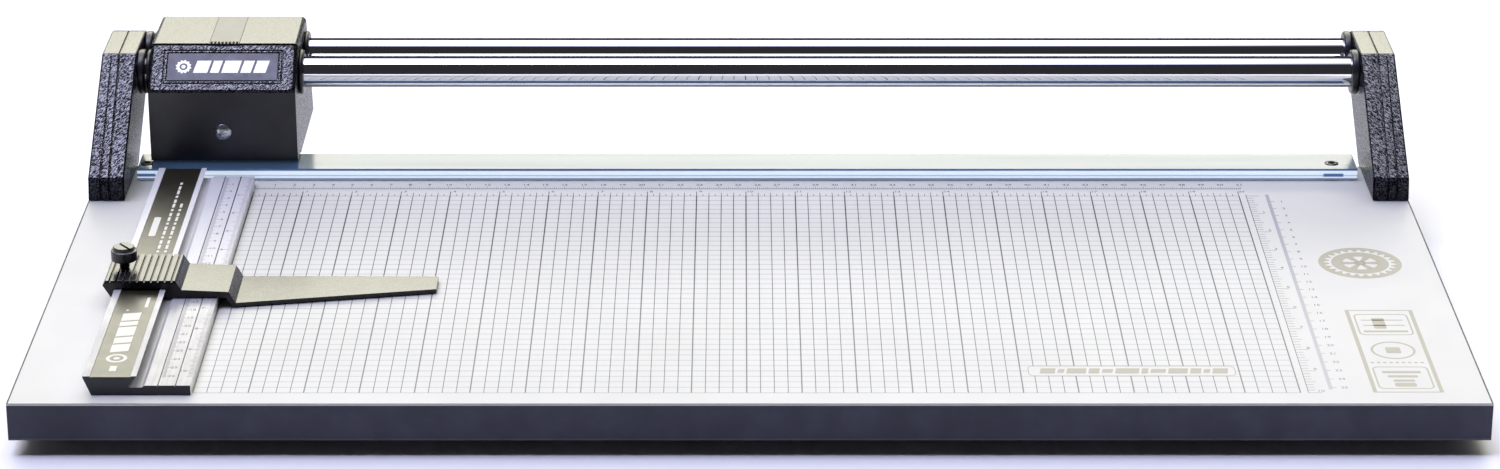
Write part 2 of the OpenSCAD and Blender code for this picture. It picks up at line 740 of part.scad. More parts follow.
module wheel_screw_places() for (a = [0, 120, 240]) translate([head_x, wheel_y, axle_z])
    rotate([-90, 0, 0]) rotate([0, 0, a]) translate([9.5, 0, 0]) children();

// Hardened disc, flat towards the blade and bevelled behind
module cutting_wheel() color("lightgray") difference() {
    translate([head_x, wheel_y, axle_z]) rotate([-90, 0, 0]) rotate_extrude($fn = 128)
        polygon([[hub_r, 0], [wheel_r, 0], [wheel_r - 1.6, wheel_t], [hub_r, wheel_t]]);
    wheel_screw_places() translate([0, 0, -1]) cylinder(r = 1.2, h = wheel_t + 2);
}

module wheel_hub() color("gray") difference() {
    union() {
        y_rod(hub_r, hub_front_y, hub_rear_y, head_x, axle_z);
        y_rod(hub_flange_r, wheel_y - hub_flange_t, wheel_y, head_x, axle_z);
    }
    y_rod(axle_r + 1.5, hub_front_y - 1, hub_rear_y + 1, head_x, axle_z);
    wheel_screw_places() translate([0, 0, -2.2]) cylinder(r = 1.2, h = 3);
}

module wheel_bearing() color("goldenrod") difference() {
    y_rod(axle_r + 1.5, hub_front_y, hub_rear_y, head_x, axle_z);
    y_rod(axle_r + running_gap, hub_front_y - 1, hub_rear_y + 1, head_x, axle_z);
}

module wheel_screws() color("silver") wheel_screw_places() {
    translate([0, 0, -2]) cylinder(r = 1.2, h = wheel_t + 2);
    translate([0, 0, wheel_t]) difference() {
        cylinder(r = 2.2, h = 1.2);
        translate([-2, -0.25, 0.7]) cube([4, 0.5, 1]);
    }
}

// ---------- stop ----------

// Cross-section of the stop block: it hooks over both edges of the guide's raised channel
module stop_profile() difference() {
    polygon([
        [-4, stop_top], [29.3, stop_top], [32.3, 9.3], [54.9, 8.3], [58.1, arm_z + arm_t], [58.1, arm_z],
        [56.8, arm_z], [53.3, 5.3], [27.9, 5.3], [27.9, 4.9], [22.3, 4.9], [25.3, 9.9],
        [-0.4, 9.9], [1.1, 5.4], [-1.7, 5.4], [-5.5, 11.6]
    ]);
    for (i = [0:rib_count - 1])
        translate([-2.4 + rib_pitch * i, stop_top - rib_depth]) square([rib_gap, 2]);
}

module stop_arm() color([0.1, 0.1, 0.12]) difference() {
    union() {
        xz_extrude(stop_y, stop_y + stop_w) translate([guide_left, board_top]) stop_profile();
        translate([guide_left + 58, 0, board_top + arm_z]) linear_extrude(arm_t) polygon([
            [0, stop_y], [stop_reach, stop_y + stop_w - arm_tip_w], [stop_reach, stop_y + stop_w - 1.2],
            [stop_reach - 1, stop_y + stop_w - 0.4], [0, stop_y + stop_w]]);
    }
    translate([guide_left + thumb_u, thumb_y, board_top + 5]) cylinder(r = stud_r + running_gap, h = 15);
}

// Felt pad under the far end of the arm
module stop_glide() color("darkgreen")
    span([guide_left + 58 + stop_reach - 14, stop_y + stop_w - 14, board_top + 0.1],
         [guide_left + 58 + stop_reach - 3, stop_y + stop_w - 4, board_top + arm_z]);

// Soft tip that the thumb screw presses on the guide
module clamp_tip() color("goldenrod") translate([guide_left + thumb_u, thumb_y, board_top + guide_h + 0.02])
    cylinder(r = stud_r, h = tip_h);

module thumb_screw() color([0.08, 0.08, 0.1])
    translate([guide_left + thumb_u, thumb_y, board_top + guide_h + 0.02 + tip_h]) difference() {
        rotate_extrude() polygon([
            [0, 0], [stud_r, 0], [stud_r, 3.4], [2.4, 3.4], [2.4, 5.4], [6.3, 7.4], [6.3, 12],
            [5.2, 12.4], [5.2, 13.8], [4.8, 14.2], [0, 14.2]]);
        translate([0, 0, 14.2]) rotate([0, 0, -52]) cube([13, 1.1, 3], center = true);
    }

baseboard();
top_laminate();
bottom_laminate();
edge_banding();
rubber_feet();
foot_screws();
blade_bar();
bottom_blade();
bar_screws();
blade_screws();
left_end_frame();
right_end_frame();
left_end_cover();
right_end_cover();
end_frame_screws();
end_cover_screws();
front_rail();
rear_rail();
rail_end_plugs();
rail_bolts();
front_left_buffer();
front_right_buffer();
rear_left_buffer();
rear_right_buffer();
side_guide();
guide_label();
guide_screws();
strip_screws();
strip_springs();
clamp_strip();
head_housing();
badge_plate();
top_inlay();
front_skirt();
rear_guard();
skirt_screws();
guard_screws();
front_left_bush();
front_right_bush();
rear_left_bush();
rear_right_bush();
front_left_wiper();
front_right_wiper();
rear_left_wiper();
rear_right_wiper();
wheel_bracket();
bracket_screws();
wheel_axle();
thrust_washers();
wheel_spring();
axle_nut();
cutting_wheel();
wheel_hub();
wheel_bearing();
wheel_screws();
stop_arm();
stop_glide();
clamp_tip();
thumb_screw();
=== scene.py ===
"""Looks of a rotary paper trimmer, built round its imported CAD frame.

Lengths are in metres and places in the frame's own axes, unless a name or comment says millimetres.
"""
import math
import json

import bmesh
import bpy
from mathutils import Matrix, Vector

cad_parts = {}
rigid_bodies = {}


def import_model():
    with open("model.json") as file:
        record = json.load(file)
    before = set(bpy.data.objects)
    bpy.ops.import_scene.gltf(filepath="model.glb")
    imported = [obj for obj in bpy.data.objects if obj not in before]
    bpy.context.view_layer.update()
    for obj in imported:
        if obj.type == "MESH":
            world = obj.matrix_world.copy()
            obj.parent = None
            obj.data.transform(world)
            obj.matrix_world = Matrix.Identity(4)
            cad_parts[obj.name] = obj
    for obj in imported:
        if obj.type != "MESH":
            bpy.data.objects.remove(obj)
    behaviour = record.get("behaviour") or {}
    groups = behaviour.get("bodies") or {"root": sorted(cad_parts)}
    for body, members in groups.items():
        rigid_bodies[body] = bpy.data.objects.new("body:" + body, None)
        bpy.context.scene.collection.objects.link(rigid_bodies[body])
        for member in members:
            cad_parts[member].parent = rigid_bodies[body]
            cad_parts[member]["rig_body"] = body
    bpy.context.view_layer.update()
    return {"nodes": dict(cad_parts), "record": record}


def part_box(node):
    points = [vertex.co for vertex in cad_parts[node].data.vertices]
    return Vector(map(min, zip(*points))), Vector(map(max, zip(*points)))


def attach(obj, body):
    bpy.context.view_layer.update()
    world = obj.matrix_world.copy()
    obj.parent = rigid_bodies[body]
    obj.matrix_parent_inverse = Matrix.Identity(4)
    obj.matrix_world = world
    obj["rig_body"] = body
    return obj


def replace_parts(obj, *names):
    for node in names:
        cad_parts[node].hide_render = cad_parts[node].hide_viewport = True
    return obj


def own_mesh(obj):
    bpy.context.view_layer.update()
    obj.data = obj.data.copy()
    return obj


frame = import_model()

MM = 0.001
INCH_MM = 25.4

# ---------------------------------------------------------------- places read from the frame

board_lo, board_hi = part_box("top_laminate")
board_top = board_hi.z
guide_lo, guide_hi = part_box("side_guide")
guide_w_mm = (guide_hi.x - guide_lo.x) / MM
label_lo, label_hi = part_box("guide_label")
strip_lo, strip_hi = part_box("clamp_strip")
head_lo, head_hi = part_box("head_housing")
stop_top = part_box("stop_arm")[1].z

# The strip's two screws lie in one node, whose ends are the outer edges of their heads
strip_screw_lo, strip_screw_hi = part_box("strip_screws")
strip_head_r = 3.25 * MM
strip_screw_x = (strip_screw_lo.x + strip_head_r, strip_screw_hi.x - strip_head_r)
strip_screw_y = (strip_screw_lo.y + strip_screw_hi.y) / 2

# The badge plate lies in the bezel, so its box gives the bezel's middle and slope
badge_lo, badge_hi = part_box("badge_plate")
badge_w, badge_t = 17 * MM, 0.8 * MM
badge_dy, badge_dz = badge_hi.y - badge_lo.y, badge_hi.z - badge_lo.z
bezel_middle = (badge_lo + badge_hi) / 2
bezel_slope = math.atan2(badge_w * badge_dz - badge_t * badge_dy, badge_w * badge_dy - badge_t * badge_dz)

# The printed grid starts at the guide's working edge and at a front line near the board's edge
grid_x = guide_hi.x + 0.5 * MM
grid_y = board_lo.y + 13 * MM
grid_w_mm, grid_d_mm = 20 * INCH_MM, 10 * INCH_MM


# ---------------------------------------------------------------- camera, world and floor

def make_camera():
    """A long lens, in front of the trimmer and above it, looking a little down."""
    place = (-0.005, -1.93805, 0.7908)
    tilt_down, turn_right, roll = 21.33, 0.1595, 0.06
    data = bpy.data.cameras.new("camera")
    data.lens, data.sensor_width = 100.33, 36
    data.clip_start, data.clip_end = 0.1, 200
    camera = bpy.data.objects.new("camera", data)
    bpy.context.scene.collection.objects.link(camera)
    camera.matrix_world = (
        Matrix.Translation(place)
        @ Matrix.Rotation(math.radians(-turn_right), 4, "Z")
        @ Matrix.Rotation(math.radians(90 - tilt_down), 4, "X")
        @ Matrix.Rotation(math.radians(roll), 4, "Z")
    )
    bpy.context.scene.camera = camera


class Nodes:
    """Short-hand for building one node tree, called n in the functions that build materials."""

    def __init__(self, tree):
        self.tree = tree
        tree.nodes.clear()

    @classmethod
    def of(cls, material):
        """The nodes of a finished material, to add to."""
        nodes = cls.__new__(cls)
        nodes.tree = material.node_tree
        return nodes

    def add(self, kind, **settings):
        node = self.tree.nodes.new(kind)
        for name, value in settings.items():
            setattr(node, name, value)
        return node

    def link(self, source, target):
        self.tree.links.new(source, target)

    def math(self, operation, a, b=None, clamp=False):
        node = self.add("ShaderNodeMath", operation=operation, use_clamp=clamp)
        for socket, value in zip(node.inputs, (a, b)):
            self.put(socket, value)
        return node.outputs[0]

    def put(self, socket, value):
        """Links a socket or sets a plain value."""
        if value is None:
            return
        if isinstance(value, bpy.types.NodeSocket):
            self.link(value, socket)
        else:
            socket.default_value = value

    def step(self, value, low, high):
        """0 below low and 1 above high, smooth between them."""
        node = self.add("ShaderNodeMapRange", interpolation_type="SMOOTHSTEP", clamp=True)
        for socket, v in zip(node.inputs, (value, low, high, 0.0, 1.0)):
            self.put(socket, v)
        return node.outputs[0]

    def inverse(self, value):
        return self.math("SUBTRACT", 1.0, value)

    def split(self, vector):
        """The x, y and z of a vector socket."""
        node = self.add("ShaderNodeSeparateXYZ")
        self.link(vector, node.inputs[0])
        return node.outputs

    def face_normal(self):
        """The x, y and z of the flat face's normal."""
        return self.split(self.add("ShaderNodeNewGeometry").outputs["True Normal"])

    def mix(self, factor, a, b):
        """Mix of two colours."""
        node = self.add("ShaderNodeMix", data_type="RGBA")
        self.put(node.inputs["Factor"], factor)
        self.put(node.inputs[6], a)
        self.put(node.inputs[7], b)
        return node.outputs[2]


def make_world():
    """A studio as the chrome sees it: a dark front, a cold softbox overhead, a pale ceiling and a warm
    bright wall behind."""
    world = bpy.data.worlds.new("studio")
    bpy.context.scene.world = world
    world.use_nodes = True
    n = Nodes(world.node_tree)
    x, y, z = n.split(n.add("ShaderNodeTexCoord").outputs["Generated"])
    deg = n.math("MULTIPLY", n.math("ARCTAN2", z, n.math("MULTIPLY", y, -1.0)), 180 / math.pi)
    colour = (0.18, 0.18, 0.2, 1)
    # Soft lower and upper edges in degrees, from the front horizon over the top to the back one,
    # then soft left and right edges by the direction's x, then the colour
    full_left, full_right = (-1.2, -1.1), (1.1, 1.2)
    dark_front = ((-2.0, -1.5), (75.0, 78.0), full_left, full_right, (0.03, 0.03, 0.034, 1))
    ceiling = ((85.0, 91.0), (134.0, 143.0), (-0.6, -0.4), (0.4, 0.6), (2.5, 2.5, 2.5, 1))
    softbox = ((75.0, 78.0), (97.0, 104.0), (-0.75, -0.6), (-0.06, 0.17), (6.2, 6.35, 8.9, 1))
    wall = ((134.0, 143.0), (163.0, 166.0), (-0.6, -0.4), (0.4, 0.6), (5.6, 5.45, 4.5, 1))
    dark_back = ((163.0, 166.0), (179.0, 180.0), full_left, full_right, (0.03, 0.03, 0.04, 1))
    for low, high, left, right, tone in (dark_front, ceiling, softbox, wall, dark_back):
        tall = n.math("MULTIPLY", n.step(deg, *low), n.inverse(n.step(deg, *high)))
        wide = n.math("MULTIPLY", n.step(x, *left), n.inverse(n.step(x, *right)))
        colour = n.mix(n.math("MULTIPLY", tall, wide), colour, tone)
    background = n.add("ShaderNodeBackground")
    n.link(colour, background.inputs["Color"])
    n.link(background.outputs[0], n.add("ShaderNodeOutputWorld").inputs[0])
    bpy.context.scene.view_settings.view_transform = "Standard"


def make_floor():
    half, depth = 30, 0.01
    bm = bmesh.new()
    add_box(bm, (-half, -half, -depth), (half, half, 0))
    mesh = bpy.data.meshes.new("floor")
    bm.to_mesh(mesh)
    bm.free()
    floor = bpy.data.objects.new("floor", mesh)
    bpy.context.scene.collection.objects.link(floor)
    material, _, shader = principled("floor")
    shader.inputs["Base Color"].default_value = (0.86, 0.86, 0.86, 1)
    shader.inputs["Roughness"].default_value = 0.9
    shader.inputs["Specular IOR Level"].default_value = 0.0
    mesh.materials.append(material)


# ---------------------------------------------------------------- materials

def principled(name):
    """A new material, its nodes and its shader."""
    material = bpy.data.materials.new(name)
    material.use_nodes = True
    n = Nodes(material.node_tree)
    shader = n.add("ShaderNodeBsdfPrincipled")
    n.link(shader.outputs[0], n.add("ShaderNodeOutputMaterial").inputs[0])
    return material, n, shader


def object_point(n):
    """The place in the object's own axes, in metres."""
    return n.add("ShaderNodeTexCoord").outputs["Object"]


def noise(n, point, scale, detail, rough=0.5, distortion=0.0, stretch=None):
    """Noise value 0 to 1 at a scale in features per metre; stretch scales the axes first."""
    if stretch:
        mapping = n.add("ShaderNodeMapping")
        n.link(point, mapping.inputs["Vector"])
        mapping.inputs["Scale"].default_value = stretch
        point = mapping.outputs[0]
    node = n.add("ShaderNodeTexNoise")
    n.link(point, node.inputs["Vector"])
    node.inputs["Scale"].default_value = scale
    node.inputs["Detail"].default_value = detail
    node.inputs["Roughness"].default_value = rough
    node.inputs["Distortion"].default_value = distortion
    return node.outputs["Fac"]


def bump(n, shader, height, depth, strength):
    """Bump of a height 0 to 1, depth metres deep."""
    node = n.add("ShaderNodeBump")
    node.inputs["Strength"].default_value = strength
    node.inputs["Distance"].default_value = depth
    n.link(height, node.inputs["Height"])
    n.link(node.outputs[0], shader.inputs["Normal"])


def spread(n, value, low, high):
    """Maps noise 0.3 to 0.7 onto low to high."""
    node = n.add("ShaderNodeMapRange", clamp=True)
    for socket, v in zip(node.inputs, (value, 0.3, 0.7, low, high)):
        n.put(socket, v)
    return node.outputs[0]


def two_tone(n, shader, value, a, b):
    """Base colour between two tones, by a noise value."""
    n.link(n.mix(spread(n, value, 0.0, 1.0), (*a, 1), (*b, 1)), shader.inputs["Base Color"])


def upward(n, low, high, start=0.15, end=0.5):
    """low on upright faces and high on those that face up, by the height of their normal."""
    rise = n.step(n.face_normal()[2], start, end)
    return n.math("ADD", low, n.math("MULTIPLY", rise, high - low))


def laminate_material():
    material, n, shader = principled("white_laminate")
    point = object_point(n)
    two_tone(n, shader, noise(n, point, 14, 3), (0.54, 0.54, 0.505), (0.57, 0.57, 0.535))
    n.link(spread(n, noise(n, point, 60, 4), 0.32, 0.42), shader.inputs["Roughness"])
    shader.inputs["Specular IOR Level"].default_value = 0.06
    bump(n, shader, noise(n, point, 1500, 2), 0.02 * MM, 0.25)
    return material


def ink_material(name, front, back, rough=0.4):
    """Print whose tone runs from the front of the board to its back: a painted reflection, the ink lighter
    towards the front where its gloss would mirror the bright backdrop.
    """
    material, n, shader = principled(name)
    point = object_point(n)
    # painted reflection: the tone runs from the front tone to the back tone across the board, broken by
    # random specks
    specks = n.math("MULTIPLY", n.math("SUBTRACT", noise(n, point, 900, 3), 0.5), 0.4)
    along = n.math("ADD", n.step(n.split(point)[1], board_lo.y, board_hi.y), specks, clamp=True)
    n.link(n.mix(along, (*front, 1), (*back, 1)), shader.inputs["Base Color"])
    n.link(spread(n, noise(n, point, 300, 3), rough - 0.05, rough + 0.05), shader.inputs["Roughness"])
    shader.inputs["Specular IOR Level"].default_value = 0.1
    return material


def bezel_edge(n, x, y, z):
    """1 outside a rounded rectangle on the head's sloping bezel: its rounded rim, on which shade is painted.
    """
    corner, soft = 2.5 * MM, 0.2 * MM
    side_rim, end_rim = 1.6 * MM, 0.8 * MM
    # the step below the roof takes a little off the bezel's upper edge
    brow = 0.5 * MM
    half_x = (head_hi.x - head_lo.x) / 2
    half_v = (head_hi.z - bezel_middle.z) / math.sin(bezel_slope)
    from_middle = n.math("ABSOLUTE", n.math("SUBTRACT", x, bezel_middle.x))
    along_y = n.math("MULTIPLY", n.math("SUBTRACT", y, bezel_middle.y), math.cos(bezel_slope))
    along_z = n.math("MULTIPLY", n.math("SUBTRACT", z, bezel_middle.z), math.sin(bezel_slope))
    along = n.math("ABSOLUTE", n.math("ADD", n.math("ADD", along_y, along_z), brow))
    past_x = n.math("MAXIMUM", n.math("SUBTRACT", from_middle, half_x - side_rim - corner), 0.0)
    past_v = n.math("MAXIMUM", n.math("SUBTRACT", along, half_v - brow - end_rim - corner), 0.0)
    past = n.math("ADD", n.math("MULTIPLY", past_x, past_x), n.math("MULTIPLY", past_v, past_v))
    past = n.math("SQRT", past)
    on_head = n.inverse(n.step(from_middle, half_x, half_x + 0.5 * MM))
    return n.math("MULTIPLY", on_head, n.step(past, corner - soft, corner + soft))


def crinkle_material():
    """Black paint wrinkled into short worms about a millimetre apart, which slant to both sides, with
    painted highlights on the worms and painted shade on rounded side edges and the bezel's rim.
    """
    material, n, shader = principled("crinkle_paint")
    point = object_point(n)
    x, y, z = n.split(point)
    rim = bezel_edge(n, x, y, z)
    # axes that follow a slope facing the front: along the worms, across them and out of the slope
    x = n.math("ABSOLUTE", x)
    slope_y, slope_z, squeeze = 0.78, 0.63, 0.34
    up = n.math("ADD", n.math("MULTIPLY", y, slope_y), n.math("MULTIPLY", z, slope_z))
    out = n.math("SUBTRACT", n.math("MULTIPLY", z, slope_y), n.math("MULTIPLY", y, slope_z))
    slanted = n.add("ShaderNodeCombineXYZ")
    n.put(slanted.inputs[0], n.math("MULTIPLY", n.math("SUBTRACT", x, up), squeeze))
    n.put(slanted.inputs[1], n.math("ADD", x, up))
    n.put(slanted.inputs[2], out)
    worms = noise(n, slanted.outputs[0], 1250, 1, 0.6, 0.6)
    fine = noise(n, point, 2400, 2, 0.6, 0.4)
    height = n.math("ADD", n.math("MULTIPLY", worms, 0.8), n.math("MULTIPLY", fine, 0.2))
    ridge = n.step(height, 0.44, 0.56)
    tip = n.step(height, 0.56, 0.66)
    raised = upward(n, 0.25, 1.25)
    flat = upward(n, 0.0, 1.0, 0.9, 0.97)
    # painted shade: the rounded side edges, which turn away from the light, and the bezel's rim are painted
    # near black and keep little shine
    lean = n.math("ABSOLUTE", n.face_normal()[0])
    lit = n.inverse(n.math("SUBTRACT", n.step(lean, 0.2, 0.4), n.step(lean, 0.9, 0.96)))
    rim = n.math("MULTIPLY", rim, n.math("SUBTRACT", upward(n, 0.0, 1.0, 0.3, 0.4), flat))
    lit = n.math("MULTIPLY", lit, n.inverse(rim))
    # painted highlight and shade: valleys near black, ridges lighter and bluer, and the tips on faces that
    # look up lighter still
    colour = n.mix(ridge, (0.002, 0.002, 0.004, 1), (0.024, 0.024, 0.044, 1))
    painted_tip_highlight = n.math("MULTIPLY", tip, n.math("MULTIPLY", raised, 0.8))
    colour = n.mix(painted_tip_highlight, colour, (0.12, 0.12, 0.16, 1))
    colour = n.mix(flat, colour, (0.03, 0.03, 0.03, 1))
    n.link(n.mix(lit, (0.002, 0.002, 0.003, 1), colour), shader.inputs["Base Color"])
    n.link(spread(n, fine, 0.2, 0.34), shader.inputs["Roughness"])
    # ridges shine and the valleys hardly do, and flat tops shine evenly
    shine = n.math("ADD", n.math("MULTIPLY", ridge, n.inverse(flat)), n.math("MULTIPLY", flat, 0.46))
    level = n.math("MULTIPLY", raised, n.math("ADD", 0.05, n.math("MULTIPLY", shine, 1.15)))
    kept = n.math("ADD", 0.12, n.math("MULTIPLY", lit, 0.88))
    n.link(n.math("MULTIPLY", level, kept), shader.inputs["Specular IOR Level"])
    relief = n.math("MULTIPLY", height, n.inverse(n.math("MULTIPLY", flat, 0.9)))
    bump(n, shader, relief, 0.4 * MM, 0.7)
    return material


def satin_black(name, grain, depth, rough, tone, level=0.3, lid=0.85, wear=1.0):
    """Satin black finish; lid is the shine of the faces that look up and wear how much the sheen varies."""
    material, n, shader = principled(name)
    point = object_point(n)
    two_tone(n, shader, noise(n, point, 60, 3), tone, tuple(v * 1.5 for v in tone))
    sheen = spread(n, noise(n, point, 140, 4), rough - 0.06 * wear, rough + 0.08 * wear)
    n.link(sheen, shader.inputs["Roughness"])
    n.link(upward(n, level, max(level, lid)), shader.inputs["Specular IOR Level"])
    bump(n, shader, noise(n, point, grain, 3), depth, 0.4)
    return material


def anodised_material():
    """Satin black anodising, with painted shade at the bottom of the grip grooves on the stop, where its
    shine is cut.
    """
    material = satin_black("black_anodised", 1600, 0.001 * MM, 0.27, (0.006, 0.006, 0.009), level=0.4,
                           lid=0.69, wear=0.2)
    n = Nodes.of(material)
    level = material.node_tree.nodes["Principled BSDF"].inputs["Specular IOR Level"]
    depth = n.math("SUBTRACT", stop_top, n.split(object_point(n))[2])
    above_block = n.inverse(n.step(depth, 1.3 * MM, 1.4 * MM))
    # painted shade: the shine is cut at the bottom of the grip grooves
    groove = n.math("MULTIPLY", n.step(depth, 0.1 * MM, 0.25 * MM), above_block)
    shine = level.links[0].from_socket
    n.link(n.math("MULTIPLY", shine, n.inverse(n.math("MULTIPLY", groove, 0.75))), level)
    return material


def metal(name, a, b, rough, stretch=(1, 1, 1), grain=900):
    """Bare metal with grinding or drawing lines along the axis whose stretch is smallest."""
    material, n, shader = principled(name)
    point = object_point(n)
    lines = noise(n, point, grain, 4, 0.65, 0.0, stretch)
    two_tone(n, shader, lines, a, b)
    shader.inputs["Metallic"].default_value = 1.0
    n.link(spread(n, noise(n, point, 90, 4), rough * 0.8, rough * 1.3), shader.inputs["Roughness"])
    bump(n, shader, lines, 0.02 * MM, 0.5)
    return material


def chrome_material():
    """Hard chrome, with painted reflections along its outline: a black line along its upper outline and a
    grey one along its lower outline.
    """
    material, n, shader = principled("chrome")
    point = object_point(n)
    edge = n.add("ShaderNodeLayerWeight")
    edge.inputs["Blend"].default_value = 0.5
    # painted reflection: near the outline the metal turns to dark paint, black on the upper side and grey on
    # the lower
    rim = n.step(edge.outputs["Facing"], 0.45, 0.49)
    line = n.mix(upward(n, 0.0, 1.0, -0.1, 0.1), (0.36, 0.37, 0.40, 1), (0.03, 0.03, 0.04, 1))
    n.link(n.mix(rim, (0.80, 0.81, 0.85, 1), line), shader.inputs["Base Color"])
    n.link(n.inverse(rim), shader.inputs["Metallic"])
    shader.inputs["Specular IOR Level"].default_value = 0.0
    polish = noise(n, point, 90, 4, 0.5, 0.0, (0.03, 1, 1))
    n.link(spread(n, polish, 0.016, 0.026), shader.inputs["Roughness"])
    bump(n, shader, noise(n, point, 600, 3, 0.6, 0.0, (0.02, 1, 1)), 0.001 * MM, 0.2)
    return material


def guide_material():
    """Pale satin aluminium drawn along Y, with painted light and shade: lighter towards its back and on its
    side walls, near black on its ends.
    """
    material, n, shader = principled("guide_aluminium")
    point = object_point(n)
    lines = noise(n, point, 900, 4, 0.65, 0.0, (1, 0.02, 1))
    pale = n.mix(spread(n, lines, 0.0, 1.0), (0.25, 0.25, 0.26, 1), (0.34, 0.34, 0.36, 1))
    # painted light: lighter towards the back end, making up for the head's shade and dark reflection there
    pale = n.mix(n.step(n.split(point)[1], guide_lo.y, guide_hi.y), pale, (0.60, 0.60, 0.64, 1))
    normal = n.face_normal()
    # painted shade: faces that look along Y, the ends, are near black and hardly metallic, in place of the
    # dark front they would reflect; painted light: faces that look to the sides are lighter
    end = n.step(n.math("ABSOLUTE", normal[1]), 0.85, 0.95)
    wall = n.step(n.math("ABSOLUTE", normal[0]), 0.5, 0.8)
    pale = n.mix(wall, pale, (0.9, 0.9, 0.92, 1))
    n.link(n.mix(end, pale, (0.020, 0.021, 0.030, 1)), shader.inputs["Base Color"])
    n.link(n.math("MULTIPLY", n.inverse(end), 0.12), shader.inputs["Metallic"])
    n.link(spread(n, noise(n, point, 90, 4), 0.28, 0.4), shader.inputs["Roughness"])
    shader.inputs["Specular IOR Level"].default_value = 0.3
    bump(n, shader, lines, 0.02 * MM, 0.5)
    return material


def rubber_material():
    material, n, shader = principled("rubber")
    point = object_point(n)
    two_tone(n, shader, noise(n, point, 250, 4), (0.006, 0.006, 0.009), (0.012, 0.012, 0.017))
    n.link(spread(n, noise(n, point, 700, 3), 0.3, 0.42), shader.inputs["Roughness"])
    shader.inputs["Specular IOR Level"].default_value = 0.6
    bump(n, shader, noise(n, point, 2600, 3), 0.03 * MM, 0.5)
    return material


def clear_material():
    """Clear cold-tinted acrylic with painted light and shade: bands up its walls, dark where its lower edge
    and inner corner would gather the shade below it, dark dashes for the screws and a painted glow.
    """
    material, n, shader = principled("clear_acrylic")
    point = object_point(n)
    x, _, z = n.split(point)
    along_x = (0.02, 1, 1)
    drawn = noise(n, point, 160, 3, 0.6, 0.0, along_x)
    height = n.math("DIVIDE", n.math("SUBTRACT", z, strip_lo.z), strip_hi.z - strip_lo.z)
    level = n.math("ADD", height, n.math("MULTIPLY", n.math("SUBTRACT", drawn, 0.5), 0.12))
    # painted light and shade over the cold tint: bands from the lower edge up, each with the heights between
    # which it takes over
    colour = (0.07, 0.09, 0.16, 1)
    for low, high, tone in (
        (0.06, 0.14, (0.68, 0.77, 0.90, 1)),
        (0.28, 0.34, (0.34, 0.48, 0.62, 1)),
        (0.40, 0.46, (0.72, 0.82, 0.93, 1)),
        (0.76, 0.86, (0.14, 0.20, 0.36, 1)),
        (0.93, 0.98, (0.05, 0.10, 0.17, 1)),
    ):
        colour = n.mix(n.step(level, low, high), colour, tone)
    # painted shade: where the screws stand behind the front wall it is painted with dark dashes
    band = n.math("MULTIPLY", n.step(level, 0.2, 0.3), n.inverse(n.step(level, 0.5, 0.6)))
    for screw_x in strip_screw_x:
        away = n.math("ABSOLUTE", n.math("SUBTRACT", x, screw_x))
        near = n.inverse(n.step(away, 4.5 * MM, 6 * MM))
        colour = n.mix(n.math("MULTIPLY", near, band), colour, (0.05, 0.12, 0.28, 1))
    n.put(shader.inputs["Base Color"], colour)
    # some real transmission, and painted light: all but the top of the strip glows in its own band colour,
    # standing in for light carried through the acrylic
    shader.inputs["Transmission Weight"].default_value = 0.1
    shader.inputs["IOR"].default_value = 1.5
    n.put(shader.inputs["Emission Color"], colour)
    glow = n.math("MULTIPLY", n.inverse(n.step(level, 0.86, 0.93)), 0.66)
    n.link(glow, shader.inputs["Emission Strength"])
    n.link(spread(n, noise(n, point, 120, 4, 0.6, 0.0, (0.05, 1, 1)), 0.12, 0.2), shader.inputs["Roughness"])
    shader.inputs["Specular IOR Level"].default_value = 0.4
    bump(n, shader, noise(n, point, 500, 3, 0.6, 0.0, along_x), 0.01 * MM, 0.3)
    return material


def board_core_material():
    material, n, shader = principled("fibreboard")
    point = object_point(n)
    two_tone(n, shader, noise(n, point, 900, 5, 0.7), (0.30, 0.21, 0.12), (0.46, 0.34, 0.21))
    shader.inputs["Roughness"].default_value = 0.85
    bump(n, shader, noise(n, point, 1600, 4), 0.1 * MM, 0.7)
    return material


def felt_material():
    material, n, shader = principled("felt")
    point = object_point(n)
    two_tone(n, shader, noise(n, point, 2400, 5, 0.7), (0.02, 0.02, 0.022), (0.07, 0.07, 0.075))
    shader.inputs["Roughness"].default_value = 0.95
    shader.inputs["Sheen Weight"].default_value = 0.4
    bump(n, shader, noise(n, point, 3500, 4), 0.2 * MM, 0.8)
    return material


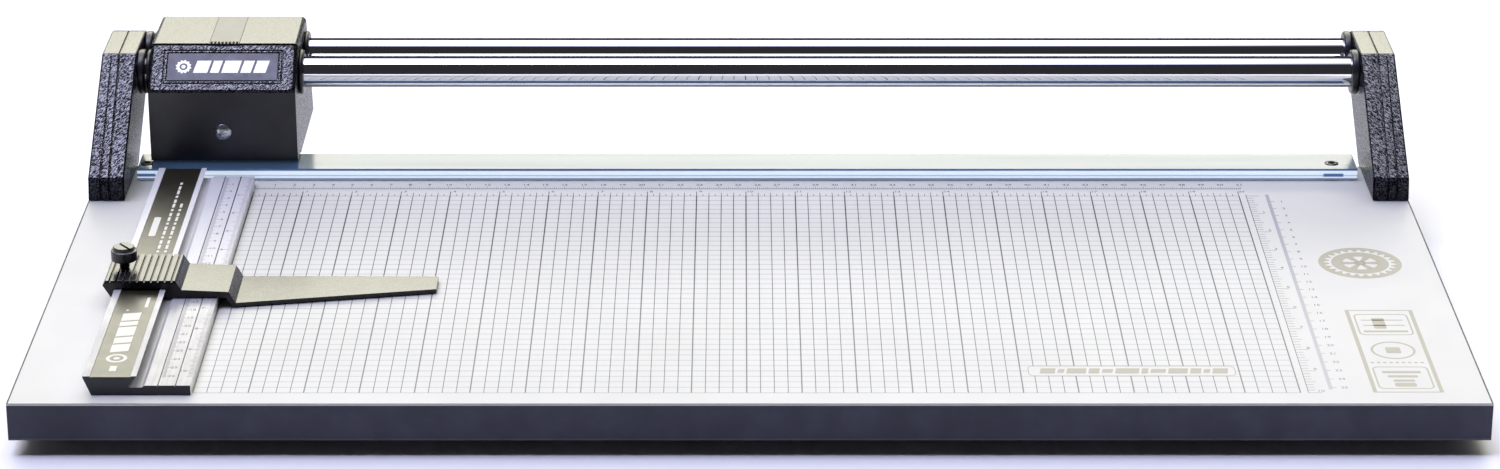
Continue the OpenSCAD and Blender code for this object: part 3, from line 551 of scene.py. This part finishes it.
def make_materials():
    """The finish of each material slot in the record."""
    bright = ((0.55, 0.56, 0.58), (0.72, 0.73, 0.75))
    return {
        "laminate": laminate_material(),
        "board_core": board_core_material(),
        "backer": satin_black("backing_sheet", 700, 0.05 * MM, 0.5, (0.06, 0.06, 0.065)),
        "edge_band": satin_black("edge_band", 420, 0.03 * MM, 0.35, (0.026, 0.027, 0.047), level=0.25,
                                 lid=0.1),
        "rubber": rubber_material(),
        "zinc_screw": metal("zinc_screw", *bright, 0.3),
        "black_screw": metal("black_screw", (0.03, 0.03, 0.035), (0.06, 0.06, 0.065), 0.35),
        "crinkle_paint": crinkle_material(),
        "satin_paint": satin_black("satin_paint", 1800, 0.001 * MM, 0.32, (0.022, 0.022, 0.028),
                                   level=0.5, lid=0.78, wear=0.2),
        "chrome": chrome_material(),
        "blade_steel": metal("blade_steel", (0.42, 0.43, 0.45), (0.62, 0.63, 0.65), 0.16, (0.04, 1, 1),
                             grain=1500),
        "mill_aluminium": metal("mill_aluminium", *bright, 0.3, (0.05, 1, 1)),
        "guide_aluminium": guide_material(),
        "label": satin_black("guide_label", 800, 0.004 * MM, 0.3, (0.012, 0.011, 0.007), level=0.12,
                             lid=0.5, wear=0.4),
        "clear_plastic": clear_material(),
        "badge": satin_black("badge_plaque", 900, 0.01 * MM, 0.25, (0.02, 0.02, 0.038), lid=0.45),
        "bush_bronze": metal("sintered_bronze", (0.36, 0.23, 0.10), (0.55, 0.38, 0.20), 0.4, grain=1800),
        "spring_steel": metal("spring_steel", (0.4, 0.4, 0.42), (0.6, 0.6, 0.62), 0.25),
        "black_anodised": anodised_material(),
        "felt": felt_material(),
        "brass": metal("brass", (0.62, 0.44, 0.18), (0.80, 0.62, 0.30), 0.25),
    }


# ---------------------------------------------------------------- mesh helpers

def new_piece(name, bm, body, slot, material=None, smooth_angle=None):
    """Makes an object of a bmesh, riding on a body, with its slot's finish or one of its own."""
    bmesh.ops.recalc_face_normals(bm, faces=bm.faces)
    mesh = bpy.data.meshes.new(name)
    bm.to_mesh(mesh)
    bm.free()
    if smooth_angle is not None:
        mesh.shade_smooth()
        mesh.set_sharp_from_angle(angle=math.radians(smooth_angle))
    piece = bpy.data.objects.new(name, mesh)
    bpy.context.scene.collection.objects.link(piece)
    mesh.materials.append(material or materials[slot])
    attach(piece, body)
    return piece


def add_prism(bm, outline, z_lo, z_hi, place=Matrix.Identity(4)):
    """A closed prism over an anticlockwise outline of x, y points."""
    low = [bm.verts.new(place @ Vector((x, y, z_lo))) for x, y in outline]
    high = [bm.verts.new(place @ Vector((x, y, z_hi))) for x, y in outline]
    count = len(outline)
    bm.faces.new(list(reversed(low)))
    bm.faces.new(high)
    for i in range(count):
        j = (i + 1) % count
        bm.faces.new((low[i], low[j], high[j], high[i]))


def add_box(bm, lo, hi):
    add_prism(bm, [(lo[0], lo[1]), (hi[0], lo[1]), (hi[0], hi[1]), (lo[0], hi[1])], lo[2], hi[2])


def add_lathe(bm, profile, place, segments):
    """Turns a closed profile of radius, height points about the local Z axis of place."""
    rings = []
    for i in range(segments):
        turn = Matrix.Rotation(2 * math.pi * i / segments, 4, "Z")
        rings.append([bm.verts.new(place @ turn @ Vector((r, 0, h))) for r, h in profile])
    count = len(profile)
    for i in range(segments):
        a, b = rings[i], rings[(i + 1) % segments]
        for j in range(count):
            k = (j + 1) % count
            bm.faces.new((a[j], b[j], b[k], a[k]))


def rounded(width, depth, radius, x=0.0, y=0.0):
    """Outline of a rectangle with round corners about x, y."""
    steps = 6
    points = []
    for corner, (sx, sy) in enumerate(((1, 1), (-1, 1), (-1, -1), (1, -1))):
        for i in range(steps + 1):
            a = math.radians(90 * (corner + i / steps))
            points.append((x + sx * (width / 2 - radius) + radius * math.cos(a),
                           y + sy * (depth / 2 - radius) + radius * math.sin(a)))
    return points


def toothed(tip, root, x, steps):
    """Outline of a wheel about x, with a tooth on every other pair of points."""
    points = []
    for i in range(steps):
        r, a = tip if (i // 2) % 2 else root, 2 * math.pi * i / steps
        points.append((x + r * math.cos(a), r * math.sin(a)))
    return points


def in_mm(*points):
    """An outline given in millimetres."""
    return [(x * MM, y * MM) for x, y in points]


def leaning(x, width, lean, half):
    """Outline of a block that starts at x and leans right, half above and half below, in millimetres."""
    return in_mm((x, -half), (x + width, -half), (x + width + lean, half), (x + lean, half))


def add_frame(bm, outer, inner, z_lo, z_hi, place):
    """A closed band between two outlines with the same number of points."""
    loops = [[bm.verts.new(place @ Vector((x, y, z))) for x, y in outline]
             for outline, z in ((outer, z_lo), (outer, z_hi), (inner, z_hi), (inner, z_lo))]
    count = len(outer)
    for i in range(count):
        j = (i + 1) % count
        for a, b in zip(loops, loops[1:] + loops[:1]):
            bm.faces.new((a[i], a[j], b[j], b[i]))


def circle(radius, x=0.0, segments=48):
    """Outline of a circle about x."""
    angles = (2 * math.pi * i / segments for i in range(segments))
    return [(x + radius * math.cos(a), radius * math.sin(a)) for a in angles]


numeral_meshes = {}


def add_numeral(bm, string, size, place):
    """A scale numeral lying on the XY plane of place, centred."""
    thick, same_point = 0.03 * MM, 1e-4
    if string not in numeral_meshes:
        curve = bpy.data.curves.new("numeral", "FONT")
        curve.body, curve.size, curve.extrude, curve.resolution_u = string, 1.0, 0.5, 2
        curve.align_x, curve.align_y = "CENTER", "CENTER"
        holder = bpy.data.objects.new("numeral", curve)
        bpy.context.scene.collection.objects.link(holder)
        bpy.context.view_layer.update()
        numeral_meshes[string] = bpy.data.meshes.new_from_object(holder)
        bpy.data.objects.remove(holder)
    part = bmesh.new()
    part.from_mesh(numeral_meshes[string])
    bmesh.ops.remove_doubles(part, verts=part.verts, dist=same_point)
    scale = Matrix.Diagonal((size, size, thick, 1))
    bmesh.ops.transform(part, matrix=place @ scale, verts=part.verts)
    scratch = bpy.data.meshes.new("scratch")
    part.to_mesh(scratch)
    part.free()
    bm.from_mesh(scratch)
    bpy.data.meshes.remove(scratch)


def refine(node, radius):
    """A finished copy of a CAD node: its facets joined and its sharp edges rounded by radius, in metres,
    or by what radius(start, end) gives for an edge."""
    smooth_angle, wide = 32, 1 * MM
    source = frame["nodes"][node]
    bm = bmesh.new()
    bm.from_mesh(source.data)
    bmesh.ops.remove_doubles(bm, verts=bm.verts, dist=0.002 * MM)
    bmesh.ops.dissolve_limit(bm, angle_limit=math.radians(0.5), verts=bm.verts, edges=bm.edges)

    def sizes():
        found = {}
        for e in bm.edges:
            if e.is_manifold and e.calc_face_angle(0) > math.radians(smooth_angle):
                size = radius(e.verts[0].co, e.verts[1].co) if callable(radius) else radius
                found.setdefault(size, []).append(e)
        return found

    for size in sorted(sizes(), reverse=True):
        bmesh.ops.bevel(bm, geom=sizes().get(size, []), offset=size, offset_type="OFFSET",
                        segments=6 if size > wide else 2, profile=0.5, affect="EDGES")
    piece = new_piece(node + "_finish", bm, source["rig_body"], slots[node], smooth_angle=smooth_angle)
    level = piece.modifiers.new("level", "WEIGHTED_NORMAL")
    level.keep_sharp = True
    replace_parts(piece, node)
    return piece


def on_any(value, *others):
    """Whether a value lies on one of the others."""
    tolerance = 0.02 * MM
    return any(abs(value - v) < tolerance for v in others)


# ---------------------------------------------------------------- rails, rings and springs

def along_x(node):
    """Where a round CAD node lies: a matrix with Z along X from its left end, its radius and its length."""
    lo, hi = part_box(node)
    left_end = Matrix.Translation((lo.x, (lo.y + hi.y) / 2, (lo.z + hi.z) / 2))
    return left_end @ Matrix.Rotation(math.pi / 2, 4, "Y"), (hi.z - lo.z) / 2, hi.x - lo.x


def make_rails():
    """The chrome tubes, with a small chamfer at each end."""
    wall, edge = 2 * MM, 0.4 * MM
    for node in ("front_rail", "rear_rail"):
        place, r, length = along_x(node)
        bm = bmesh.new()
        add_lathe(bm, [(r - wall, 0), (r - edge, 0), (r, edge), (r, length - edge), (r - edge, length),
                       (r - wall, length)], place, 192)
        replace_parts(new_piece(node + "_tube", bm, "base", "chrome", smooth_angle=30), node)


def make_rings():
    """Rubber rings with rounded edges: buffers at the frames and wipers at the head."""
    rail_r = along_x("front_rail")[1]
    soft = 1.3 * MM
    for row in ("front", "rear"):
        for side in ("left", "right"):
            for kind, body, gap in (("buffer", "base", 0), ("wiper", "head", 0.05 * MM)):
                node = "_".join((row, side, kind))
                place, r, length = along_x(node)
                profile = [(rail_r + gap, 0)]
                for corner, height in ((-90, soft), (0, length - soft)):
                    for i in range(7):
                        a = math.radians(corner + 15 * i)
                        profile.append((r - soft + soft * math.cos(a), height + soft * math.sin(a)))
                profile.append((rail_r + gap, length))
                bm = bmesh.new()
                add_lathe(bm, profile, place, 96)
                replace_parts(new_piece(node + "_ring", bm, body, "rubber", smooth_angle=30), node)


def make_lifting_springs():
    """Round-wire coils with closed ends under the clear strip."""
    lo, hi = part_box("strip_springs")
    wire_r, turns, dead, per_turn, sides = 0.35 * MM, 5.5, 0.8, 36, 12
    outer, middle, height = (hi.y - lo.y) / 2, (lo.y + hi.y) / 2, hi.z - lo.z
    mean_r = outer - wire_r
    # the end turns lie wire on wire, those between them share the rest of the height
    closed_pitch = 2 * wire_r
    open_pitch = (height - 2 * wire_r - 2 * dead * closed_pitch) / (turns - 2 * dead)
    bm = bmesh.new()
    for x in (lo.x + outer, hi.x - outer):
        rings = []
        for i in range(round(turns * per_turn) + 1):
            turn = i / per_turn
            closed = min(turn, dead) + max(turn - (turns - dead), 0)
            z = lo.z + wire_r + closed * closed_pitch + (turn - closed) * open_pitch
            a = 2 * math.pi * turn
            ring = []
            for k in range(sides):
                b = 2 * math.pi * k / sides
                r = mean_r + wire_r * math.cos(b)
                point = (x + r * math.cos(a), middle + r * math.sin(a), z + wire_r * math.sin(b))
                ring.append(bm.verts.new(point))
            rings.append(ring)
        for first, second in zip(rings, rings[1:]):
            for k in range(sides):
                j = (k + 1) % sides
                bm.faces.new((first[k], first[j], second[j], second[k]))
        bm.faces.new(rings[0])
        bm.faces.new(list(reversed(rings[-1])))
    springs = new_piece("lifting_springs", bm, "base", slots["strip_springs"], smooth_angle=40)
    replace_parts(springs, "strip_springs")
    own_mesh(springs)


# ---------------------------------------------------------------- print on the board

ink_low, ink_high = board_top - 0.02 * MM, board_top + 0.03 * MM


def at(x, y):
    """A place on the board in millimetres from the grid's front left corner."""
    return grid_x + x * MM, grid_y + y * MM


def stroke(bm, x0, y0, x1, y1, rise=0.0):
    """A printed bar between two corners, in grid millimetres; rise moves its top, in metres."""
    (ax, ay), (bx, by) = at(x0, y0), at(x1, y1)
    add_box(bm, (ax, ay, ink_low), (bx, by, ink_high + rise))


def line_v(bm, x, y0, y1, width):
    """A line along Y."""
    stroke(bm, x - width / 2, y0, x + width / 2, y1)


def line_h(bm, y, x0, x1, width):
    """A line along X, a little lower than those it crosses."""
    stroke(bm, x0, y - width / 2, x1, y + width / 2, -0.004 * MM)


def numeral(bm, string, x, y, size):
    add_numeral(bm, string, size * MM, Matrix.Translation((*at(x, y), board_top + 0.005 * MM)))


# Ends of the box of blocks that interrupts the grid, in grid millimetres
box_x, box_y = (384.5, 481.0), (19.5, 31.3)


def make_grid():
    """Quarter-inch lines, with every inch heavier, left out where the box with the blocks lies."""
    spacing = INCH_MM / 4
    columns, rows = bmesh.new(), bmesh.new()
    for k in range(81):
        x = spacing * k
        width = 0.62 if k % 4 == 0 else 0.4
        if box_x[0] < x < box_x[1]:
            line_v(columns, x, 0, box_y[0], width)
            line_v(columns, x, box_y[1], grid_d_mm, width)
        else:
            line_v(columns, x, 0, grid_d_mm, width)
    for k in range(41):
        y = spacing * k
        width = 0.75 if k % 4 == 0 else 0.5
        if box_y[0] < y < box_y[1]:
            line_h(rows, y, 0, box_x[0], width)
            line_h(rows, y, box_x[1], grid_w_mm, width)
        else:
            line_h(rows, y, 0, grid_w_mm, width)
    # painted reflection: each ink's front tone is lighter than its back tone
    ink = ink_material("grid_ink", (0.17, 0.17, 0.165), (0.02, 0.02, 0.04))
    pale = ink_material("pale_grid_ink", (0.40, 0.40, 0.40), (0.30, 0.30, 0.34))
    make_cut_edge()
    new_piece("grid_columns", columns, "base", "laminate", ink)
    new_piece("grid_rows", rows, "base", "laminate", pale)
    return ink, pale


def make_cut_edge():
    """The dark cut edge of the laminate, seen from above as a thin outline."""
    wide = 0.7 * MM
    left, right = (board_lo.x, board_lo.x + wide), (board_hi.x - wide, board_hi.x)
    front, back = (board_lo.y, board_lo.y + wide), (board_hi.y - wide, board_hi.y)
    edge = bmesh.new()
    for xs in (left, right):
        add_box(edge, (xs[0], board_lo.y, ink_low), (xs[1], board_hi.y, ink_high))
    for ys in (front, back):
        add_box(edge, (left[1], ys[0], ink_low), (right[0], ys[1], ink_high))
    ink = ink_material("laminate_cut", (0.03, 0.03, 0.035), (0.02, 0.02, 0.025))
    new_piece("laminate_cut_edge", edge, "base", "laminate", ink)


def make_scales(ink, pale):
    """Inches and centimetres behind the grid and, on both sides of a pale bar, to its right."""
    eighth = INCH_MM / 8
    dark, light = bmesh.new(), bmesh.new()
    # inches and their eighths along the back of the grid
    for k in range(161):
        x = eighth * k
        if k % 8 == 0:
            line_v(dark, x, grid_d_mm, 260.4, 0.4)
            if k:
                numeral(dark, str(k // 8), x + 2.0, 260.2, 3.4)
        else:
            line_v(dark, x, grid_d_mm, 258.6 if k % 2 == 0 else 256.6, 0.32)
    # centimetres behind them
    line_y = 264.3
    line_h(dark, line_y, 0, 510, 0.35)
    for k in range(511):
        tall = 3.4 if k % 10 == 0 else 2.6 if k % 5 == 0 else 1.7
        line_v(dark, k, line_y, line_y + tall, 0.22)
        if k % 10 == 0 and k:
            numeral(dark, str(k // 10), k, 270.2, 3.6)
    # line and ticks at the right edge of the grid
    line_x = 511.7
    line_v(dark, line_x, 0, 256, 0.35)
    for k in range(81):
        reach = 518.2 if k % 8 == 0 else 516.6 if k % 4 == 0 else 515.2
        line_h(dark, eighth * k, line_x, reach, 0.3)
    # tall pale bar with inches on its left and centimetres on its right
    bar_left, bar_right, bar_back = 521.6, 523.4, 256
    stroke(light, bar_left, 4, bar_right, bar_back)
    for k in range(1, 11):
        numeral(dark, str(k), 518.2 if k < 10 else 517.6, grid_d_mm - INCH_MM * k + 2, 3.6)
    for k in range(1, 26):
        line_h(dark, bar_back - 10 * k, bar_right, 525.2, 0.3)
        numeral(dark, str(k), 529, bar_back - 10 * k, 3.4)
    new_piece("scale_marks", dark, "base", "laminate", ink)
    new_piece("scale_bar", light, "base", "laminate", pale)


def make_devices():
    """Plain printed devices where the trimmer carries its notes."""
    tan = ink_material("tan_ink", (0.36, 0.345, 0.27), (0.33, 0.315, 0.25))
    bm = bmesh.new()
    add_block_row(bm)
    add_roundel(bm)
    add_pictograms(bm)
    new_piece("printed_devices", bm, "base", "laminate", tan)


def on_board(x, y):
    """A place on the board for a device, in grid millimetres."""
    return Matrix.Translation((*at(x, y), 0))


def add_block_row(bm):
    """A box in the grid with a row of leaning blocks."""
    w, d = box_x[1] - box_x[0], box_y[1] - box_y[0]
    centre = on_board((box_x[0] + box_x[1]) / 2, (box_y[0] + box_y[1]) / 2)
    border = rounded((w - 1) * MM, (d - 1) * MM, 2.5 * MM)
    add_frame(bm, rounded(w * MM, d * MM, 3 * MM), border, ink_low, ink_high, centre)
    x = -43.0
    for i, width in enumerate((7, 3, 9, 5, 5, 11, 3, 7, 9, 5, 3, 7)):
        half = (3.0, 2.2, 3.0)[i % 3]
        add_prism(bm, leaning(x, width, 0.9, half), ink_low, ink_high, centre)
        x += width + 1.2


def add_roundel(bm):
    """A ring with a toothed inner edge, round a wheel with six spokes and a hub."""
    steps = 96
    centre = on_board(557.5, 160.8)
    add_frame(bm, circle(20.5 * MM, segments=steps), toothed(17.6 * MM, 15.2 * MM, 0, steps),
              ink_low, ink_high, centre)
    add_frame(bm, circle(14.2 * MM, segments=steps), circle(8.6 * MM, segments=steps),
              ink_low, ink_high, centre)
    spoke = in_mm((2.2, -1.1), (8.7, -1.9), (8.7, 1.9), (2.2, 1.1))
    for turn in range(6):
        arm = centre @ Matrix.Rotation(math.radians(60 * turn), 4, "Z")
        add_prism(bm, spoke, ink_low, ink_high, arm)
    add_prism(bm, circle(2.6 * MM), ink_low, ink_high, centre)


def add_pictograms(bm):
    """A panel of three pictograms, one above the other, each of simple bars."""
    def bar(cell, width, depth, radius, x, y):
        add_prism(bm, rounded(width * MM, depth * MM, radius * MM, x * MM, y * MM), ink_low, ink_high, cell)

    left, right, front, back = 541.5, 574.0, 0.3, 99.6
    middle, side, end = (left + right) / 2, 1.9, 0.9
    stroke(bm, left, front, left + side, back)
    stroke(bm, right - side, front, right, back)
    for y in (front, back - end):
        stroke(bm, left + side, y, right - side, y + end)
    upper, centre, lower = (on_board(middle, y) for y in (81.5, 50, 17.5))
    for cell in (upper, lower):
        border = rounded(24.4 * MM, 24.4 * MM, 2.3 * MM)
        add_frame(bm, rounded(26 * MM, 26 * MM, 3 * MM), border, ink_low, ink_high, cell)
    for y in (5.5, -1.0):
        bar(upper, 20, 1.0, 0.4, 0, y)
    bar(upper, 6, 13, 1, -2, 1.5)
    bar(upper, 21, 2.2, 0.6, 0, -8.4)
    add_frame(bm, circle(10.5 * MM), circle(9.3 * MM), ink_low, ink_high, centre)
    bar(centre, 7, 7, 1, 0, 0)
    # a dashed line below the middle one
    for i in range(9):
        dash = middle - 12.6 + 2.9 * i
        stroke(bm, dash, 34.6, dash + 1.6, 36.0)
    for i in range(3):
        bar(lower, 18 - 4 * i, 2.6, 0.8, 0, 6.5 - 5 * i)
    bar(lower, 10, 4.4, 1.2, 0, -8.2)


# ---------------------------------------------------------------- marks on the guide and the head

def make_label_marks():
    """White print on the guide's black label: a wheel, blocks and broken lines."""
    white = ink_material("white_print", (0.62, 0.61, 0.54), (0.60, 0.60, 0.55))
    middle, front = (label_lo.x + label_hi.x) / 2, label_lo.y
    low, high = -0.02 * MM, 0.03 * MM
    bm = bmesh.new()

    def place(x, y):
        return Matrix.Translation((middle + x * MM, front + y * MM, label_hi.z))

    # front device: a wheel and leaning blocks
    wheel = place(0, 22)
    add_frame(bm, circle(4.9 * MM), circle(3.3 * MM), low, high, wheel)
    add_prism(bm, circle(1.5 * MM), low, high, wheel)
    half, lean, gap = 4.2, 1.6, 1.5
    y = 29.0
    for length in (9, 7, 11, 5, 9):
        block = in_mm((-half, 0), (half, lean), (half, length + lean), (-half, length))
        add_prism(bm, block, low, high, place(0, y))
        y += length + gap
    # three small bars, by their left, front, right and back edges
    for x0, y0, x1, y1 in ((-1.6, 7.0, 1.6, 13.0), (4.6, 84.0, 6.2, 96.0), (-3.4, 79.5, -2.2, 81.0)):
        add_prism(bm, in_mm((x0, y0), (x1, y0), (x1, y1), (x0, y1)), low, high, place(0, 0))
    # rear: one short block and two broken lines
    add_prism(bm, rounded(3.4 * MM, 26 * MM, 1 * MM), low, high, place(-4.2, 190))
    for x, dashes in ((1.6, 17), (5.4, 12)):
        for i in range(dashes):
            length = (4.6, 2.8, 5.4)[i % 3]
            dash = rounded(1.3 * MM, length * MM, 0.3 * MM)
            add_prism(bm, dash, low, high, place(x, 150 + 6.3 * i))
    new_piece("label_marks", bm, "base", "label", white)


def make_guide_scales():
    """Centimetres beside the guide's first groove and inches at its right edge, counted from the back."""
    # painted reflection: the front tone is lighter than the back tone
    grey = ink_material("scale_print", (0.10, 0.10, 0.12), (0.05, 0.05, 0.09))
    z = guide_lo.z + 4.9 * MM
    left, back = guide_lo.x, guide_hi.y
    bm = bmesh.new()

    def tick(u0, u1, v):
        """A mark from u0 to u1 mm right of the guide's left edge, v mm before its back end."""
        half = 0.22 / 2
        add_box(bm, (left + u0 * MM, back - (v + half) * MM, z - 0.02 * MM),
                (left + u1 * MM, back - (v - half) * MM, z + 0.03 * MM))

    def number(value, size, u, v):
        place = Matrix.Translation((left + u * MM, back - v * MM, z + 0.005 * MM))
        add_numeral(bm, str(value), size * MM, place)

    # painted shade: dark bars fill the two grooves, standing in for the shade inside them
    for u in (34.1, 42.2):
        add_box(bm, (left + u * MM, guide_lo.y + 0.3 * MM, z - 0.3 * MM),
                (left + (u + 0.5) * MM, back - 0.3 * MM, z - 0.01 * MM))
    # both scales have their zero 2 mm before the guide's back end
    zero, cm_line, inch_line = 2, 35.0, guide_w_mm - 0.3
    for k in range(1, 262):
        reach = 3.2 if k % 10 == 0 else 2.4 if k % 5 == 0 else 1.6
        tick(cm_line, cm_line + reach, k + zero)
        if k % 10 == 0:
            number(k // 10, 3.2, 39.4, k + zero)
    for k in range(1, 165):
        v = INCH_MM / 16 * k + zero
        reach = 4.6 if k % 16 == 0 else 3.6 if k % 8 == 0 else 2.8 if k % 4 == 0 else 2.0
        tick(inch_line - reach, inch_line, v)
        if k % 16 == 0:
            number(k // 16, 3.4, 43.9, v)
    new_piece("guide_scales", bm, "base", "guide_aluminium", grey)


def make_badge():
    """White device on the sloping plaque: a toothed wheel and leaning blocks."""
    white = ink_material("white_badge_print", (0.92, 0.92, 0.92), (0.92, 0.92, 0.92), 0.3)
    shader = white.node_tree.nodes["Principled BSDF"]
    # painted light: the white print glows a little
    shader.inputs["Emission Color"].default_value = (1, 1, 1, 1)
    shader.inputs["Emission Strength"].default_value = 0.3
    place = (Matrix.Translation(bezel_middle) @ Matrix.Rotation(bezel_slope, 4, "X")
             @ Matrix.Translation((0, 0, badge_t / 2)))
    low, high = -0.03 * MM, 0.04 * MM
    bm = bmesh.new()
    wheel_x = -20.3 * MM
    add_frame(bm, toothed(4.1 * MM, 3.5 * MM, wheel_x, 48), circle(2.1 * MM, wheel_x), low, high, place)
    add_prism(bm, circle(1.1 * MM, wheel_x), low, high, place)
    x = -15.2
    for length in (7.4, 4.6, 8.6, 5.4, 6.4):
        add_prism(bm, leaning(x, length, 1.9, 3.7), low, high, place)
        x += length + 1.3
    new_piece("badge_device", bm, "head", "badge", white)


# ---------------------------------------------------------------- finished CAD shapes

def darken(piece, material, chosen):
    """Gives a second material to the faces whose middle is chosen."""
    piece.data.materials.append(material)
    for face in piece.data.polygons:
        if chosen(face.center):
            face.material_index = 1


def round_head():
    """The head's housing, with wide roundings along the sides of its sloping bezel and roof."""
    sides = (head_lo.x, head_hi.x)
    bezel_foot = badge_lo.z - 4 * MM

    def radius(a, b):
        along = (b - a).normalized()
        on_side = on_any(a.x, *sides) and on_any(b.x, *sides) and abs(along.x) < 0.1
        if on_side and min(a.z, b.z) > bezel_foot and abs(along.z) < 0.75:
            return 2.6 * MM
        return 0.2 * MM

    refine("head_housing", radius)


def round_end_frame(side):
    """An end frame and its cover, rounded along their long edges."""
    lo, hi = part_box(side + "_end_frame")
    cover_lo, cover_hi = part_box(side + "_end_cover")
    outer = max(abs(cover_lo.x), abs(cover_hi.x))
    inner = min(abs(lo.x), abs(hi.x))

    def radius(a, b):
        """Wide along the outlines of the two sides and the corners between slope, top and nose."""
        lengthwise = abs((b - a).normalized().x) > 0.98
        on_sides = all(abs(v.x) > outer - 2.1 * MM or abs(v.x) < inner + 1.6 * MM for v in (a, b))
        if not (lengthwise or on_sides):
            return 0.25 * MM
        return 0.15 * MM if (b - a).length < 0.9 * MM else 0.8 * MM

    refine(side + "_end_frame", radius)
    refine(side + "_end_cover", radius)


def finish_inlay():
    """The inlay on the head's roof, whose front ribs are darker than its top."""
    rib_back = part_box("top_inlay")[0].y + 3 * MM
    ribs = satin_black("inlay_ribs", 900, 0.01 * MM, 0.4, (0.01, 0.01, 0.012), 0.1, 0.1)
    darken(refine("top_inlay", 0.1 * MM), ribs, lambda c: c.y < rib_back)


def finish_strip_screws():
    """The strip's screws: dull heads, with painted shade in their cross recesses."""
    recess_r = 1.75 * MM
    screws = refine("strip_screws", 0.12 * MM)
    screws.data.materials[0] = metal("dull_zinc", (0.09, 0.09, 0.08), (0.15, 0.15, 0.14), 0.3)
    # painted shade: faces round the middle of each head, where the cross recess lies, are near black and
    # hardly shine
    recess = satin_black("screw_recess", 900, 0.01 * MM, 0.5, (0.01, 0.01, 0.012), 0.05, 0.05)
    darken(screws, recess,
           lambda c: min(math.hypot(c.x - x, c.y - strip_screw_y) for x in strip_screw_x) < recess_r)


def make_finishes():
    """Finished copies of the CAD nodes that are seen, most by one rounding width in millimetres."""
    round_head()
    for side in ("left", "right"):
        round_end_frame(side)
    for node, width in (
        ("front_skirt", 0.4), ("side_guide", 0.15), ("stop_arm", 0.2), ("clamp_strip", 0.3),
        ("thumb_screw", 0.2), ("guide_label", 0.1), ("badge_plate", 0.1), ("wheel_axle", 0.15),
        ("rear_guard", 0.3), ("cutting_wheel", 0.05), ("wheel_hub", 0.2), ("rubber_feet", 0.4),
        ("rail_bolts", 0.2), ("end_cover_screws", 0.15), ("edge_banding", 0.15), ("blade_bar", 0.15),
        ("bottom_blade", 0.05), ("bar_screws", 0.15), ("blade_screws", 0.1), ("guard_screws", 0.1),
        ("foot_screws", 0.15), ("guide_screws", 0.15), ("end_frame_screws", 0.15),
        ("wheel_bracket", 0.2), ("axle_nut", 0.2), ("stop_glide", 0.1),
    ):
        refine(node, width * MM)
    finish_inlay()
    finish_strip_screws()


# ---------------------------------------------------------------- the scene

make_camera()
make_world()
make_floor()
materials = make_materials()
slots = {row["node"]: row["material_slot"] for row in frame["record"]["subparts"]}
for node, slot in slots.items():
    frame["nodes"][node].data.materials.clear()
    frame["nodes"][node].data.materials.append(materials[slot])

make_rails()
make_rings()
make_lifting_springs()
grid_inks = make_grid()
make_scales(*grid_inks)
make_devices()
make_label_marks()
make_guide_scales()
make_badge()
make_finishes()
